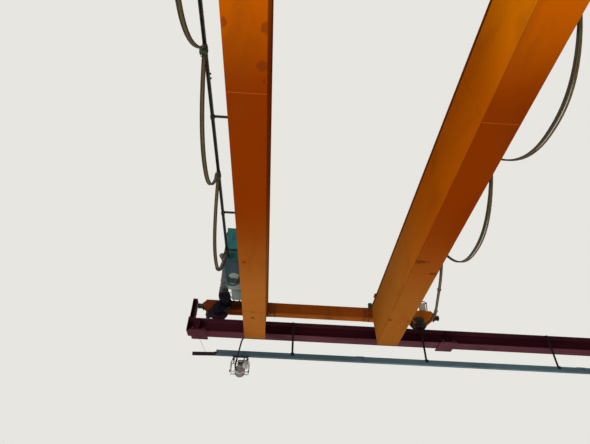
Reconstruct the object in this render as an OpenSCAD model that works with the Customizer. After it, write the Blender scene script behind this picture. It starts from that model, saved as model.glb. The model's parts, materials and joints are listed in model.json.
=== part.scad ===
// Overhead travelling bridge crane: two box girders on end carriages, on a pair of runway beams.
// X runs along the runway, Y across it and away from the near beam, Z up.
// The origin is on the underside of the far beam's first bearing plate.

/* [Runway] */
// Distance between the centres of the two runway beams
span = 12000; // [11000:100:15000]
// Distance between two supports of a runway beam
bay = 4600; // [4400:100:6000]
// Number of bays
bays = 3; // [2:1:6]
// Width of a runway beam's flanges
beam_w = 250; // [220:5:260]
// Depth of a runway beam
beam_h = 250; // [220:5:300]
// Thickness of a runway beam's flanges
beam_tf = 12.5; // [9:0.5:20]
// Thickness of a runway beam's web
beam_tw = 7.5; // [6:0.5:14]
// Radius between a runway beam's web and flanges
beam_r = 24; // [10:1:30]
// Thickness of the web stiffeners over a support
stiffener_t = 12; // [8:1:20]
// Length of a bearing plate along the runway
plate_l = 300; // [260:10:400]
// Width of a bearing plate across the runway
plate_w = 400; // [380:10:480]
// Thickness of a bearing plate
plate_t = 20; // [12:1:30]
// Distance between a bearing plate's bolt holes along the runway
plate_hole_x = 200; // [160:10:220]
// Distance between a bearing plate's bolt holes across the runway
plate_hole_y = 330; // [310:5:345]
// Diameter of a bearing plate's bolt holes
plate_hole_d = 26; // [18:1:30]
// Width of the crane rail
rail_w = 50; // [40:5:60]
// Height of the crane rail
rail_h = 40; // [30:5:50]

/* [End stops] */
// Height of an end stop above the crane rail
stop_h = 380; // [320:10:450]
// Length of an end stop along the runway
stop_l = 80; // [60:5:120]
// Width of an end stop across the runway
stop_w = 180; // [120:10:220]
// Thickness of an end stop's plates
stop_t = 12; // [8:1:20]
// Distance from the outer support to the face of the end stop
stop_x = 125; // [125:5:200]

/* [Conductor rail] */
// Width of the enclosed conductor rail
cond_w = 56; // [40:2:70]
// Height of the enclosed conductor rail
cond_h = 92; // [70:2:120]
// Wall thickness of the enclosed conductor rail
cond_t = 3; // [2:0.5:5]
// Width of the slot in the underside of the conductor rail
cond_slot = 16; // [10:1:24]
// Distance from the first support to the end of the conductor rail
cond_x = 400; // [300:10:480]
// Drop from the runway beam's underside to the top of the conductor rail
cond_drop = 359; // [300:5:450]
// Distance from the first support to the first hanger
hanger_x = 1730; // [1000:10:1800]
// Distance between hangers
hanger_pitch = 2400; // [1200:50:2600]
// Diameter of a hanger rod
hanger_d = 14; // [10:1:20]

/* [Girders] */
// Distance between the centres of the two girders
gauge = 2368; // [2100:10:2600]
// Gap between the left buffers and the end stops, at rest
rest_gap = 25; // [20:5:200]
// Width of a girder's flanges
girder_w = 370; // [340:5:400]
// Depth of a girder over its flanges
girder_h = 843; // [760:5:900]
// Thickness of a girder's flanges
girder_tf = 12; // [8:1:20]
// Thickness of a girder's webs
girder_tw = 8; // [6:1:12]
// How far a flange stands past a web
flange_out = 13; // [8:1:25]
// Length of the slope at a girder's end
end_slope = 178; // [100:5:300]
// Thickness of the plate that closes a girder's end
end_plate_t = 10; // [6:1:16]
// Width of a trolley rail
trolley_rail_w = 50; // [40:5:60]
// Height of a trolley rail
trolley_rail_h = 30; // [20:5:50]

/* [End carriages] */
// Length of an end carriage
carriage_l = 4464; // [4400:10:4700]
// Width of an end carriage
carriage_w = 170; // [160:5:180]
// Depth of an end carriage's box
carriage_h = 211; // [190:1:240]
// Height of the carriage's underside above the wheel axles
axle_drop = 40; // [40:1:60]
// Depth of the wheel housing below the wheel axle
housing_drop = 35; // [35:1:60]
// Thickness of the carriage's top and bottom plates
carriage_tf = 12; // [8:1:16]
// Thickness of the carriage's side plates
carriage_tw = 8; // [6:1:10]
// Distance from the carriage's end to the wheel axle
wheel_x = 310; // [300:5:360]
// Distance from the carriage's end to the bolted splice
splice_x = 1325; // [1315:5:1400]
// Length of a splice plate
splice_l = 150; // [100:10:160]
// Thickness of a splice plate
splice_t = 8; // [6:1:12]
// Length of a buffer
buffer_l = 88; // [60:2:100]
// Diameter of a buffer
buffer_d = 100; // [80:2:120]

/* [Travel wheels] */
// Radius of a wheel's tread
wheel_r = 125; // [115:1:130]
// Width of a wheel's tread, between its flanges
tread_w = 62; // [61:1:76]
// Height of a wheel's flanges
flange_h = 15; // [10:1:20]
// Thickness of a wheel's flanges
flange_t = 18; // [12:1:20]
// Radius of a wheel's axle
axle_r = 25; // [20:1:29]

/* [Drives] */
// Depth of a gearbox across the runway
gear_d = 120; // [100:5:140]
// Distance along the runway from the wheel axle to the motor's axis
gear_run = 130; // [110:1:150]
// Height of the motor's axis above the wheel axle
gear_rise = 110; // [90:1:140]
// Radius of the finned motor
motor_r = 105; // [85:1:110]
// Length of the finned motor
motor_l = 250; // [200:10:300]
// Number of fins on a motor
fins = 24; // [12:1:32]

/* [Festoon] */
// Distance from the left girder's centre to the festoon track
track_off = 393; // [380:1:420]
// Height of the festoon track above the girder's underside
track_rise = 295; // [220:5:360]
// Distance from the far runway beam to the end of the festoon track
track_y = 2400; // [2380:10:2600]
// Width of the festoon track
track_w = 32; // [24:2:40]
// Height of the festoon track
track_h = 30; // [24:2:40]
// Distance between two cable carriers
carrier_pitch = 1540; // [1300:10:1560]
// Number of cable loops
loops = 5; // [4:1:6]
// Sag of a cable loop
loop_sag = 640; // [500:10:700]
// Width of the flat cable pack
pack_w = 56; // [40:2:60]
// Thickness of the flat cable pack
pack_t = 18; // [12:1:24]

/* [Side cable] */
// Distance from the right girder's outer web to the side cables
side_off = 81; // [70:1:110]
// Height of the side cables' pegs above the girder's underside
side_rise = 245; // [150:5:300]
// Sag of a loop of the side cables
side_sag = 570; // [400:10:640]
// Width of the side cable pack
side_w = 54; // [40:2:60]
// Thickness of the side cable pack
side_t = 24; // [16:1:28]

/* [Control cabinet] */
// Length of the cabinet along the girder
cabinet_l = 800; // [500:10:840]
// Height of the cabinet
cabinet_h = 570; // [400:10:600]
// Depth of the cabinet
cabinet_d = 270; // [200:2:270]
// Gap between the cabinet and the end of the festoon track
cabinet_gap = 40; // [30:5:100]
// Gap between the cabinet and the junction box
box_gap = 120; // [60:10:160]
// Length of the junction box along the girder
box_l = 300; // [200:10:340]
// Height of the junction box
box_h = 260; // [150:10:300]
// Depth of the junction box
box_d = 200; // [100:10:260]

/* [Trolley] */
// Distance between the trolley's wheel axles
trolley_base = 1200; // [1150:10:1300]
// Distance from the near runway beam to the trolley's centre
trolley_y = 1600; // [1500:10:1800]
// Radius of a trolley wheel
trolley_wheel_r = 100; // [90:1:110]
// Radius of the rope drum
drum_r = 200; // [170:5:220]
// Length of the rope drum
drum_l = 1300; // [1000:50:1400]
// Diameter of the hoist rope
rope_d = 14; // [10:1:18]
// Distance of a rope fall from the trolley's middle
fall_x = 105; // [90:1:130]
// Radius of the bottom block's sheaves at the rope's centre
sheave_r = 150; // [130:1:170]
// Height of the hook block's sheaves above the girders' underside
block_rise = 250; // [150:10:400]

/* [Hidden] */
$fn = 48;

// Gaps: rolling parts lie just clear of what they run on, a shaft is a close fit in its bore
seat = 0.3;
shaft_gap = 0.1;
run_gap = 5;

// Plate behind a buffer
buffer_plate = 12;

// Heights
beam_top = plate_t + beam_h;
rail_top = beam_top + rail_h;
axle_z = rail_top + seat + wheel_r;
carriage_z = axle_z + axle_drop;
carriage_top = carriage_z + carriage_h;
housing_z = axle_z - housing_drop;
girder_top = carriage_top + girder_tf;
girder_z = girder_top - girder_h;
web_z = girder_z + girder_tf;

// Lengths along the runway
runway_l = bay * bays;
beam_over = stop_x + stop_l;
carriage_x = rest_gap - stop_x + buffer_l + buffer_plate;
bridge_x = carriage_x + carriage_l / 2;
girder_x = bridge_x - gauge / 2;
cond_y = -beam_w / 2 - run_gap;
cond_top = plate_t - cond_drop;
cond_z = cond_top - cond_h;
cond_l = runway_l - 2 * cond_x + 500;
girder_right = girder_x + gauge;

// Lengths across the runway
web_off = girder_w / 2 - flange_out;
flange_end = -carriage_w / 2 - end_slope;

// Puts what is built for the far carriage on the near one too
module near_side() {
    translate([0, -span, 0]) mirror([0, 1, 0]) children();
}

// Puts what is built for the bridge's left half on its right half too
module right_half() {
    translate([2 * bridge_x, 0, 0]) mirror([1, 0, 0]) children();
}

// A straight round bar from p to q
module bar(p, q, r) {
    d = q - p;
    translate(p) rotate([0, acos(d[2] / norm(d)), atan2(d[1], d[0])]) cylinder(h = norm(d), r = r);
}

// A round tube swept through points, one ring at each
function unit(v) = v / norm(v);
function heading(pts, i) = unit(pts[min(i + 1, len(pts) - 1)] - pts[max(i - 1, 0)]);
function side_of(t) = unit(cross(t, abs(t[2]) > 0.9 ? [1, 0, 0] : [0, 0, 1]));
module sweep(pts, radii, sides = 8) {
    last = len(pts) - 1;
    rings = [for (i = [0:last]) let (t = heading(pts, i), u = side_of(t), v = cross(t, u))
        for (k = [0:sides - 1]) pts[i] + radii[i] * (cos(k * 360 / sides) * u + sin(k * 360 / sides) * v)];
    skin = [for (i = [0:last - 1]) for (k = [0:sides - 1])
        [i * sides + k, (i + 1) * sides + k, (i + 1) * sides + (k + 1) % sides, i * sides + (k + 1) % sides]];
    caps = [[for (k = [0:sides - 1]) k], [for (k = [sides - 1:-1:0]) last * sides + k]];
    polyhedron(points = rings, faces = concat(skin, caps));
}

// Points of a curve that passes through chosen points
function spline_at(p, i, f) = let (
    a = p[max(i - 1, 0)], b = p[i], c = p[i + 1], d = p[min(i + 2, len(p) - 1)])
    0.5 * ((2 * b) + (c - a) * f + (2 * a - 5 * b + 4 * c - d) * f * f + (3 * b - a - 3 * c + d) * f * f * f);
function smooth(p, steps) = concat(
    [for (i = [0:len(p) - 2]) for (s = [0:steps - 1]) spline_at(p, i, s / steps)], [p[len(p) - 1]]);

// Runway beams: rolled wide-flange sections with web stiffeners over each support
module beam_outline() {
    root = beam_tw / 2 + beam_r;
    inner = beam_h / 2 - beam_tf;
    difference() {
        square([beam_w, beam_h], center = true);
        for (s = [-1, 1]) difference() {
            translate([s * (beam_tw / 2 + beam_w / 2), 0]) square([beam_w, 2 * inner], center = true);
            for (v = [-1, 1]) difference() {
                translate([s * (beam_tw / 2 + beam_r / 2), v * (inner - beam_r / 2)])
                    square(beam_r, center = true);
                translate([s * root, v * (inner - beam_r)]) circle(beam_r);
            }
        }
    }
}

module runway_beam() {
    color("#4a1216") {
        translate([-beam_over, 0, plate_t + beam_h / 2]) rotate([90, 0, 90])
            linear_extrude(runway_l + 2 * beam_over) beam_outline();
        for (i = [0:bays]) for (s = [-1, 1])
            translate([i * bay - stiffener_t / 2, s * (beam_w + beam_tw) / 4 - (beam_w - beam_tw) / 4,
                plate_t + beam_tf]) stiffener();
    }
}

module stiffener() {
    cube([stiffener_t, (beam_w - beam_tw) / 2, beam_h - 2 * beam_tf]);
}

module far_runway_beam() { runway_beam(); }
module near_runway_beam() { near_side() runway_beam(); }

module bearing_plates() {
    color("#5a2a26") for (y = [0, -span], i = [0:bays]) translate([i * bay, y, 0]) difference() {
        translate([-plate_l / 2, -plate_w / 2, 0]) cube([plate_l, plate_w, plate_t]);
        for (a = [-1, 1], b = [-1, 1]) translate([a * plate_hole_x / 2, b * plate_hole_y / 2, -1])
            cylinder(h = plate_t + 2, d = plate_hole_d);
    }
}

// Crane rails: flat bars with bevelled heads
module crane_rail() {
    bevel = 5;
    translate([-stop_x, 0, beam_top]) rotate([90, 0, 90]) linear_extrude(runway_l + 2 * stop_x)
        polygon([[-rail_w / 2, 0], [rail_w / 2, 0], [rail_w / 2, rail_h - bevel], [rail_w / 2 - bevel, rail_h],
            [bevel - rail_w / 2, rail_h], [-rail_w / 2, rail_h - bevel]]);
}
module crane_rails() {
    color("#6f5a50") { crane_rail(); near_side() crane_rail(); }
}

// End stops: short posts with a strike plate, a back plate and a web between them
module end_stop() {
    rise = rail_h + stop_h;
    foot = 2 * stop_t;
    translate([-beam_over, 0, beam_top]) {
        for (x = [0, stop_l - stop_t]) translate([x, -stop_w / 2, 0]) cube([stop_t, stop_w, rise]);
        translate([0, -stop_t / 2, 0]) cube([stop_l, stop_t, rise]);
        for (z = [0, rise - stop_t]) translate([0, -stop_w / 2, z]) cube([stop_l, stop_w, stop_t]);
    }
    translate([-beam_over - stop_t, -beam_w / 2, plate_t]) cube([stop_t, beam_w, beam_h + foot]);
}
module end_stops() {
    color("#431014") for (side = [0, 1]) translate([side * runway_l, 0, 0]) mirror([side, 0, 0]) {
        end_stop();
        near_side() end_stop();
    }
}

// Conductor rail: a channel with an open slot below, and the rods that hang it
module conductor_rail() {
    lip = (cond_w - cond_slot) / 2;
    color("#6d7376") translate([cond_x, cond_y, cond_z]) rotate([90, 0, 90]) linear_extrude(cond_l) {
        translate([-cond_w / 2, cond_h - cond_t]) square([cond_w, cond_t]);
        for (s = [0, 1]) mirror([s, 0]) {
            translate([-cond_w / 2, 0]) square([cond_t, cond_h]);
            translate([-cond_w / 2, 0]) square([lip, cond_t]);
            translate([-cond_w / 2 + lip - cond_t, 0]) square([cond_t, cond_h / 4]);
        }
    }
}
module conductor_hangers() {
    strap = 4;
    count = floor((runway_l - 2 * hanger_x) / hanger_pitch);
    grip = 44;
    color("#3c3c3e") for (i = [0:count]) translate([hanger_x + i * hanger_pitch, cond_y, 0]) {
        translate([-grip / 2, -strap - run_gap, plate_t - strap]) cube([grip, 60, strap]);
        translate([0, 0, cond_top + strap]) cylinder(h = cond_drop - 2 * strap, d = hanger_d);
        translate([-grip / 2, -cond_w / 2, cond_top]) cube([grip, cond_w, strap]);
        for (s = [-1, 1]) translate([-grip / 2, s * (cond_w + strap) / 2 - strap / 2, cond_z + cond_h / 2])
            cube([grip, strap, cond_h / 2 + strap]);
    }
}

// Girders: flanges, a pair of webs cut to the carriage and to the sloped ends, and end plates
module girder_top_flange(x) {
    color("#d9660f") translate([x - girder_w / 2, -span - carriage_w / 2, carriage_top])
        cube([girder_w, span + carriage_w, girder_tf]);
}
module girder_bottom_flange(x) {
    color("#c9650f") translate([x - girder_w / 2, -span - flange_end, girder_z])
        cube([girder_w, span + 2 * flange_end, girder_tf]);
}
module web_outline() {
    end = carriage_w / 2;
    polygon([[-end, carriage_top], [-end, carriage_z], [flange_end, web_z],
        [-span - flange_end, web_z], [end - span, carriage_z], [end - span, carriage_top]]);
}
module girder_webs(x) {
    color("#d4600d") for (s = [-1, 1])
        translate([x + s * (web_off - girder_tw / 2) - girder_tw / 2, 0, 0])
            rotate([90, 0, 90]) linear_extrude(girder_tw) web_outline();
}
module left_girder_top_flange() { girder_top_flange(girder_x); }
module left_girder_bottom_flange() { girder_bottom_flange(girder_x); }
module left_girder_webs() { girder_webs(girder_x); }
module right_girder_top_flange() { girder_top_flange(girder_right); }
module right_girder_bottom_flange() { girder_bottom_flange(girder_right); }
module right_girder_webs() { girder_webs(girder_right); }

module girder_end_plate(x) {
    inside = 2 * (web_off - girder_tw);
    end = -carriage_w / 2;
    translate([x - inside / 2, 0, 0]) rotate([90, 0, 90]) linear_extrude(inside)
        polygon([[end, carriage_z], [flange_end, web_z], [flange_end - end_plate_t, web_z],
            [end - end_plate_t, carriage_z]]);
}
module girder_end_plates() {
    color("#b9560c") for (x = [girder_x, girder_right]) {
        girder_end_plate(x);
        near_side() girder_end_plate(x);
    }
}
module trolley_rails() {
    color("#7a6a60") for (x = [girder_x, girder_right])
        translate([x - trolley_rail_w / 2, -span + carriage_w / 2, girder_top])
            cube([trolley_rail_w, span - carriage_w, trolley_rail_h]);
}

// End carriages: three bolted boxes, deeper at the wheels, with pointed noses
nose_l = 130;
module carriage_end_outline() {
    h = carriage_top - carriage_z;
    polygon([[0, carriage_z + 0.4 * h], [0, carriage_z + 0.64 * h], [55, carriage_top], [splice_x, carriage_top],
        [splice_x, carriage_z], [wheel_x + 170, carriage_z], [wheel_x + 130, housing_z],
        [wheel_x - 117, housing_z]]);
}
module carriage_end() {
    wheel_slot = tread_w + 2 * flange_t + 4 * run_gap;
    translate([carriage_x, 0, 0]) difference() {
        translate([0, carriage_w / 2, 0]) rotate([90, 0, 0]) linear_extrude(carriage_w) carriage_end_outline();
        translate([nose_l, carriage_tw - carriage_w / 2, carriage_z + carriage_tf])
            cube([splice_x, carriage_w - 2 * carriage_tw, carriage_h - 2 * carriage_tf]);
        translate([wheel_x - wheel_r - flange_h - 3 * run_gap, -wheel_slot / 2, 0])
            cube([2 * (wheel_r + flange_h + 3 * run_gap), wheel_slot, carriage_z + carriage_tf + 1]);
        translate([wheel_x, carriage_w, axle_z]) rotate([90, 0, 0])
            cylinder(h = 2 * carriage_w, r = axle_r + run_gap);
    }
}
module carriage_middle() {
    l = carriage_l - 2 * splice_x;
    translate([carriage_x + splice_x, 0, carriage_z]) difference() {
        translate([0, -carriage_w / 2, 0]) cube([l, carriage_w, carriage_h]);
        translate([-1, carriage_tw - carriage_w / 2, carriage_tf])
            cube([l + 2, carriage_w - 2 * carriage_tw, carriage_h - 2 * carriage_tf]);
    }
}
module far_carriage_left_end() { color("#d4620d") carriage_end(); }
module far_carriage_right_end() { color("#d4620d") right_half() carriage_end(); }
module far_carriage_middle() { color("#d4620d") carriage_middle(); }
module near_carriage_left_end() { color("#d4620d") near_side() carriage_end(); }
module near_carriage_right_end() { color("#d4620d") near_side() right_half() carriage_end(); }
module near_carriage_middle() { color("#d4620d") near_side() carriage_middle(); }

module splice() {
    margin = 12;
    translate([carriage_x + splice_x - splice_l / 2, 0, 0]) {
        for (s = [-1, 1]) translate([0, s * (carriage_w + splice_t) / 2 - splice_t / 2, carriage_z + margin])
            cube([splice_l, splice_t, carriage_h - 2 * margin]);
        for (z = [carriage_z - splice_t, carriage_top])
            translate([0, margin - carriage_w / 2, z]) cube([splice_l, carriage_w - 2 * margin, splice_t]);
    }
}
module splice_plates() {
    color("#c85a0c") { splice(); right_half() splice(); near_side() { splice(); right_half() splice(); } }
}

// Bearing blocks: plates with a round boss, bored for the axle
block_t = 20;
block_w = 150;
block_down = 110;
block_up = 95;
boss_t = 18;
boss_r = 52;
module bearing_block() {
    difference() {
        union() {
            translate([-block_w / 2, 0, -block_down]) cube([block_w, block_t, block_down + block_up]);
            rotate([-90, 0, 0]) cylinder(h = block_t + boss_t, r = boss_r);
        }
        translate([0, -1, 0]) rotate([-90, 0, 0]) cylinder(h = block_t + boss_t + 2, r = axle_r + shaft_gap);
    }
}
module carriage_bearings() {
    for (s = [-1, 1]) translate([carriage_x + wheel_x, 0, axle_z]) mirror([0, s < 0 ? 1 : 0, 0])
        translate([0, carriage_w / 2, 0]) bearing_block();
}
module bearing_blocks() {
    color("#2b2a2e") {
        carriage_bearings();
        right_half() carriage_bearings();
        near_side() { carriage_bearings(); right_half() carriage_bearings(); }
    }
}

module buffer() {
    z = carriage_z + 0.52 * carriage_h;
    r = buffer_d / 2;
    translate([carriage_x, 0, z]) {
        translate([-buffer_plate, -r - 10, -r - 10]) cube([buffer_plate, buffer_d + 20, buffer_d + 20]);
        translate([-buffer_plate, 0, 0]) rotate([0, -90, 0]) rotate_extrude()
            polygon([[0, 0], [r, 0], [r, buffer_l * 0.3], [r * 0.9, buffer_l * 0.5], [r, buffer_l * 0.7],
                [r * 0.92, buffer_l], [0, buffer_l]]);
    }
}
module buffers() {
    color("#17171a") { buffer(); right_half() buffer(); near_side() { buffer(); right_half() buffer(); } }
}

// Drives of the left wheels: an offset gearbox on the axle, a finned motor on it and a terminal box
drive_y = carriage_w / 2 + block_t + boss_t + 3 * run_gap;
gear_bore = 60;
wheel_axis_r = 100;
motor_axis_r = motor_r + 12;
terminal = [150, 130, 175];
module motor() {
    core = motor_r - 20;
    ribs = motor_l * 0.7;
    cylinder(h = 12, r = motor_r + 4);
    cylinder(h = motor_l, r = core);
    for (i = [0:fins - 1]) rotate([0, 0, i * 360 / fins]) translate([core - 4, -2, 0]) cube([24, 4, ribs]);
    translate([0, 0, ribs]) cylinder(h = motor_l * 0.24, r = motor_r + 2);
    translate([0, 0, motor_l * 0.94]) cylinder(h = motor_l * 0.06, r1 = motor_r + 2, r2 = motor_r * 0.8);
}
module drive() {
    bearing = carriage_w / 2 + block_t;
    translate([carriage_x + wheel_x, -drive_y, axle_z]) {
        difference() {
            rotate([90, 0, 0]) linear_extrude(gear_d) hull() {
                circle(wheel_axis_r);
                translate([gear_run, gear_rise]) circle(motor_axis_r);
            }
            translate([0, 1, 0]) rotate([90, 0, 0]) cylinder(h = gear_bore + 1, r = axle_r + shaft_gap);
        }
        translate([gear_run, -gear_d, gear_rise]) rotate([90, 0, 0]) motor();
        translate([gear_run - terminal[0] + 15, -gear_d - terminal[1] + 20, gear_rise + motor_r - 25]) cube(terminal);
    }
    // Torque arm, from the bearing block to the gearbox
    translate([carriage_x + wheel_x - 20, -drive_y - 20, axle_z + boss_r + 8])
        cube([40, drive_y + 20 - bearing, 32]);
}
module far_left_drive() { color("#232228") drive(); }
module near_left_drive() { color("#232228") near_side() drive(); }

// Sensors of the right wheels: a rotary encoder over the axle's end and a limit switch on the carriage
encoder_r = 45;
encoder_l = 85;
module wheel_sensor() {
    switch = [110, 60, 165];
    translate([carriage_x + wheel_x, -carriage_w / 2 - block_t - boss_t - seat, axle_z]) rotate([90, 0, 0]) {
        cylinder(h = encoder_l, r = encoder_r);
        cylinder(h = 8, r = boss_r);
    }
    translate([carriage_x + wheel_x - 160, -carriage_w / 2, carriage_top]) cube(switch);
}
module wheel_sensors() {
    color("#5b5750") right_half() { wheel_sensor(); near_side() wheel_sensor(); }
}

// Travel wheels: double-flanged, each with its axle
module wheel(driven) {
    r2 = wheel_r + flange_h;
    t = tread_w / 2;
    w = t + flange_t;
    hub = axle_r + 22;
    face = w + run_gap;
    end = carriage_w / 2 + block_t + boss_t - 2;
    inner = driven ? drive_y + gear_bore - 2 : end;
    translate([carriage_x + wheel_x, 0, axle_z]) rotate([90, 0, 0]) rotate_extrude($fn = 96)
        polygon([[0, -end], [axle_r, -end], [axle_r, -face], [hub, -face], [hub, -14], [wheel_r - 30, -14],
            [wheel_r - 30, -w], [r2 - 3, -w], [r2, -w + 3], [r2 - 2, -t], [wheel_r, -t], [wheel_r, t],
            [r2 - 2, t], [r2, w - 3], [r2 - 3, w], [wheel_r - 30, w], [wheel_r - 30, 14], [hub, 14],
            [hub, face], [axle_r, face], [axle_r, inner], [0, inner]]);
}
module far_left_wheel() { color("#3a3432") wheel(true); }
module far_right_wheel() { color("#3a3432") right_half() wheel(false); }
module near_left_wheel() { color("#3a3432") near_side() wheel(true); }
module near_right_wheel() { color("#3a3432") near_side() right_half() wheel(false); }

// Festoon: a slotted track on arms, carriers under it and the flat cables that they hold up
track_x = girder_x - track_off;
track_z = girder_z + track_rise;
track_l = span - track_y - 600;
carrier_h = 62;
carrier_y = [for (i = [0:loops]) -track_y - 30 - i * carrier_pitch];
arm_w = 40;
arm_pitch = 1500;
first_arms = [41, 857, 2355];
arm_y = concat([-track_y - first_arms[0], -track_y - first_arms[1]],
    [for (y = [-track_y - first_arms[2] : -arm_pitch : -track_y - track_l + arm_w]) y]);
module festoon_track() {
    t = 3;
    lip = 9;
    color("#26282a") translate([track_x, -track_y, track_z]) rotate([90, 0, 0]) linear_extrude(track_l) {
        translate([-track_w / 2, track_h - t]) square([track_w, t]);
        for (s = [0, 1]) mirror([s, 0]) {
            translate([-track_w / 2, 0]) square([t, track_h]);
            translate([-track_w / 2, 0]) square([lip, t]);
        }
    }
}
module festoon_arms() {
    web = girder_x - web_off;
    w = arm_w;
    t = 5;
    color("#222426") for (y = arm_y) translate([0, y - w / 2, track_z + track_h]) {
        translate([track_x - track_w / 2, 0, 0]) cube([web - track_x + track_w / 2, w, t]);
        translate([track_x - track_w / 2, w / 2 - t / 2, 0]) cube([web - track_x + track_w / 2, t, 30]);
        translate([web - t, 0, -30]) cube([t, w, 90]);
    }
}
// Carriers: rollers in the track, and a round saddle between two cheeks, over which the cables lie
saddle_r = 24;
saddle_drop = 62;
module carrier() {
    t = 4;
    reach = pack_w / 2 + 1;
    color("#1e2e28") {
        for (y = [-18, 18]) translate([-10, y, 8]) rotate([0, 90, 0]) cylinder(h = 20, r = 5);
        translate([-3, -24, -16]) cube([6, 48, 22]);
        translate([-reach - t, -24, -16]) cube([2 * (reach + t), 48, t]);
        for (s = [-1, 1]) translate([s * (reach + t / 2) - t / 2, -24, -saddle_drop]) cube([t, 48, saddle_drop - 12]);
        difference() {
            translate([-reach, 0, -saddle_drop]) rotate([0, 90, 0]) cylinder(h = 2 * reach, r = saddle_r);
            translate([-reach - 1, -40, -100 - saddle_drop]) cube([2 * reach + 2, 80, 100]);
        }
    }
}
module festoon_carriers() {
    for (y = carrier_y) translate([track_x, y, track_z]) carrier();
}
// A hanging strip: over each support in a half circle, and in a sagging loop between two supports
function crest(y, z, r) = [for (a = [0:15:180]) [y + r * cos(a), z + r * sin(a)]];
function hang(y0, y1, z, sag, p) = [for (i = [1:15]) let (u = i / 16)
    [y0 + (y1 - y0) * u, z - sag * (1 - pow(abs(2 * u - 1), p))]];
function normal2(p, i) = let (d = p[min(i + 1, len(p) - 1)] - p[max(i - 1, 0)]) [-d[1], d[0]] / norm(d);
module strip(p, t, w) {
    n = len(p) - 1;
    rotate([90, 0, 90]) linear_extrude(w, center = true) polygon(concat(
        [for (i = [0:n]) p[i] + t / 2 * normal2(p, i)], [for (i = [n:-1:0]) p[i] - t / 2 * normal2(p, i)]));
}
function looped(ys, z, r, sag, p) = concat(crest(ys[0], z, r), [for (i = [1:len(ys) - 1])
    each concat(hang(ys[i - 1] - r, ys[i] + r, z, sag, p), crest(ys[i], z, r))]);
loop_power = 2.3;
module festoon_cable() {
    r = saddle_r + seat + pack_t / 2;
    color("#5d5238") translate([track_x, 0, 0])
        strip(looped(carrier_y, track_z - saddle_drop, r, loop_sag, loop_power), pack_t, pack_w);
}

// Side cables: a flat pack hung in loops over pegs on the right girder's outer web, and led to the encoders
side_start = 2745;
side_x = girder_right + web_off + side_off;
side_z = girder_z + side_rise;
side_y = [-side_start, -4470, -6195, -7750, side_start - span];
peg_r = 27;
module side_cable_pegs() {
    web = girder_right + web_off;
    t = 4;
    end = side_off + side_w / 2 + 2;
    color("#2b2c2e") for (y = side_y) translate([web, y, side_z]) rotate([0, 90, 0]) {
        cylinder(h = t, r = peg_r + 20);
        cylinder(h = end, r = peg_r);
        translate([0, 0, end]) cylinder(h = t, r = peg_r + 20);
    }
}
module side_cable() {
    r = peg_r + seat + side_t / 2;
    radii = [for (i = [0:4 * (len(drop_route) - 1)]) side_t / 2];
    color("#4b4532") {
        translate([side_x, 0, 0]) strip(looped(side_y, side_z, r, side_sag, loop_power), side_t, side_w);
        sweep(smooth(drop_route, 4), radii);
        near_side() sweep(smooth(drop_route, 4), radii);
    }
}
drop_route = [[3667, -2704, 104], [3672, -2650, 20], [3750, -2300, -62], [3875, -1800, -38], [4006, -1300, 10],
    [4112, -900, 85], [4180, -560, 200], [4190, -400, 270], [4172, -270, 330], [4154, -180, 377]];

// Cables in one sleeve, from the end of the festoon down to the left drive
sleeve_end = [carriage_x + wheel_x + gear_run - 62, -drive_y - gear_d - terminal[1] + 20 - run_gap / 2,
    axle_z + gear_rise + motor_r + 72];
sleeve_route = [[596, -2430, 84], [588, -2395, 110], [576, -2330, 150], [572, -2120, 240], [568, -1900, 318],
    [556, -1735, 322], [528, -1500, 345], [494, -1250, 405], [443, -880, 556], sleeve_end + [32, -270, -48],
    sleeve_end + [12, -102, 4], sleeve_end + [1, -26, 0], sleeve_end];
module drive_cable_sleeve() {
    pts = smooth(sleeve_route, 3);
    n = len(pts);
    color("#57525a") sweep(pts, [for (i = [0:n - 1]) 21 + 44 * pow(i / n, 2)], 10);
}

// Control cabinet and the smaller box beside it, on the left girder's outer web
cabinet_y = cabinet_gap - track_y;
cabinet_z = track_z - 90;
module control_cabinet() {
    door = 14;
    color("#20605e") translate([girder_x - web_off - cabinet_d, cabinet_y, cabinet_z]) {
        translate([door, 0, 0]) cube([cabinet_d - door, cabinet_l, cabinet_h]);
        for (i = [0, 1]) translate([0, 6 + i * cabinet_l / 2, 6])
            cube([door, cabinet_l / 2 - 12, cabinet_h - 12]);
    }
}
module junction_box() {
    color("#7d9189") translate([girder_x - web_off - box_d, cabinet_y + cabinet_l + box_gap, cabinet_z + 50])
        cube([box_d, box_l, box_h]);
}

// Collector under the conductor rail: a frame on four hooks with a round cable drum in it, and its tow arm
coll_x = girder_x - 375;
coll_l = 315;
coll_h = 297;
coll_d = 126;
cage_h = 193;
coll_z = cond_z - run_gap - coll_h;
module collector() {
    b = 12;
    hooks = 30;
    drum = 86;
    color("#b9b0a8") translate([coll_x, cond_y - coll_d / 2, coll_z]) {
        for (y = [0, coll_d - b]) {
            for (z = [0, cage_h - b]) translate([0, y, z]) cube([coll_l, b, b]);
            for (x = [0, coll_l - b]) translate([x, y, 0]) cube([b, b, cage_h]);
            for (x = [hooks, coll_l - hooks - b]) translate([x, y, cage_h - 1]) cube([b, b, coll_h - cage_h + 1]);
        }
        for (x = [0, coll_l - b], z = [0, cage_h - b]) translate([x, 0, z]) cube([b, coll_d, b]);
        for (x = [hooks, coll_l - hooks - b]) translate([x, 0, coll_h - b]) cube([b, coll_d, b]);
        translate([coll_l * 0.52, 0, drum - 46]) rotate([-90, 0, 0]) {
            cylinder(h = coll_d, r = drum - 32);
            translate([0, 0, 8]) cylinder(h = coll_d - 16, r = drum);
        }
        translate([coll_l * 0.62, 14, cage_h - 70]) cube([70, coll_d - 28, 64]);
    }
}
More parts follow.
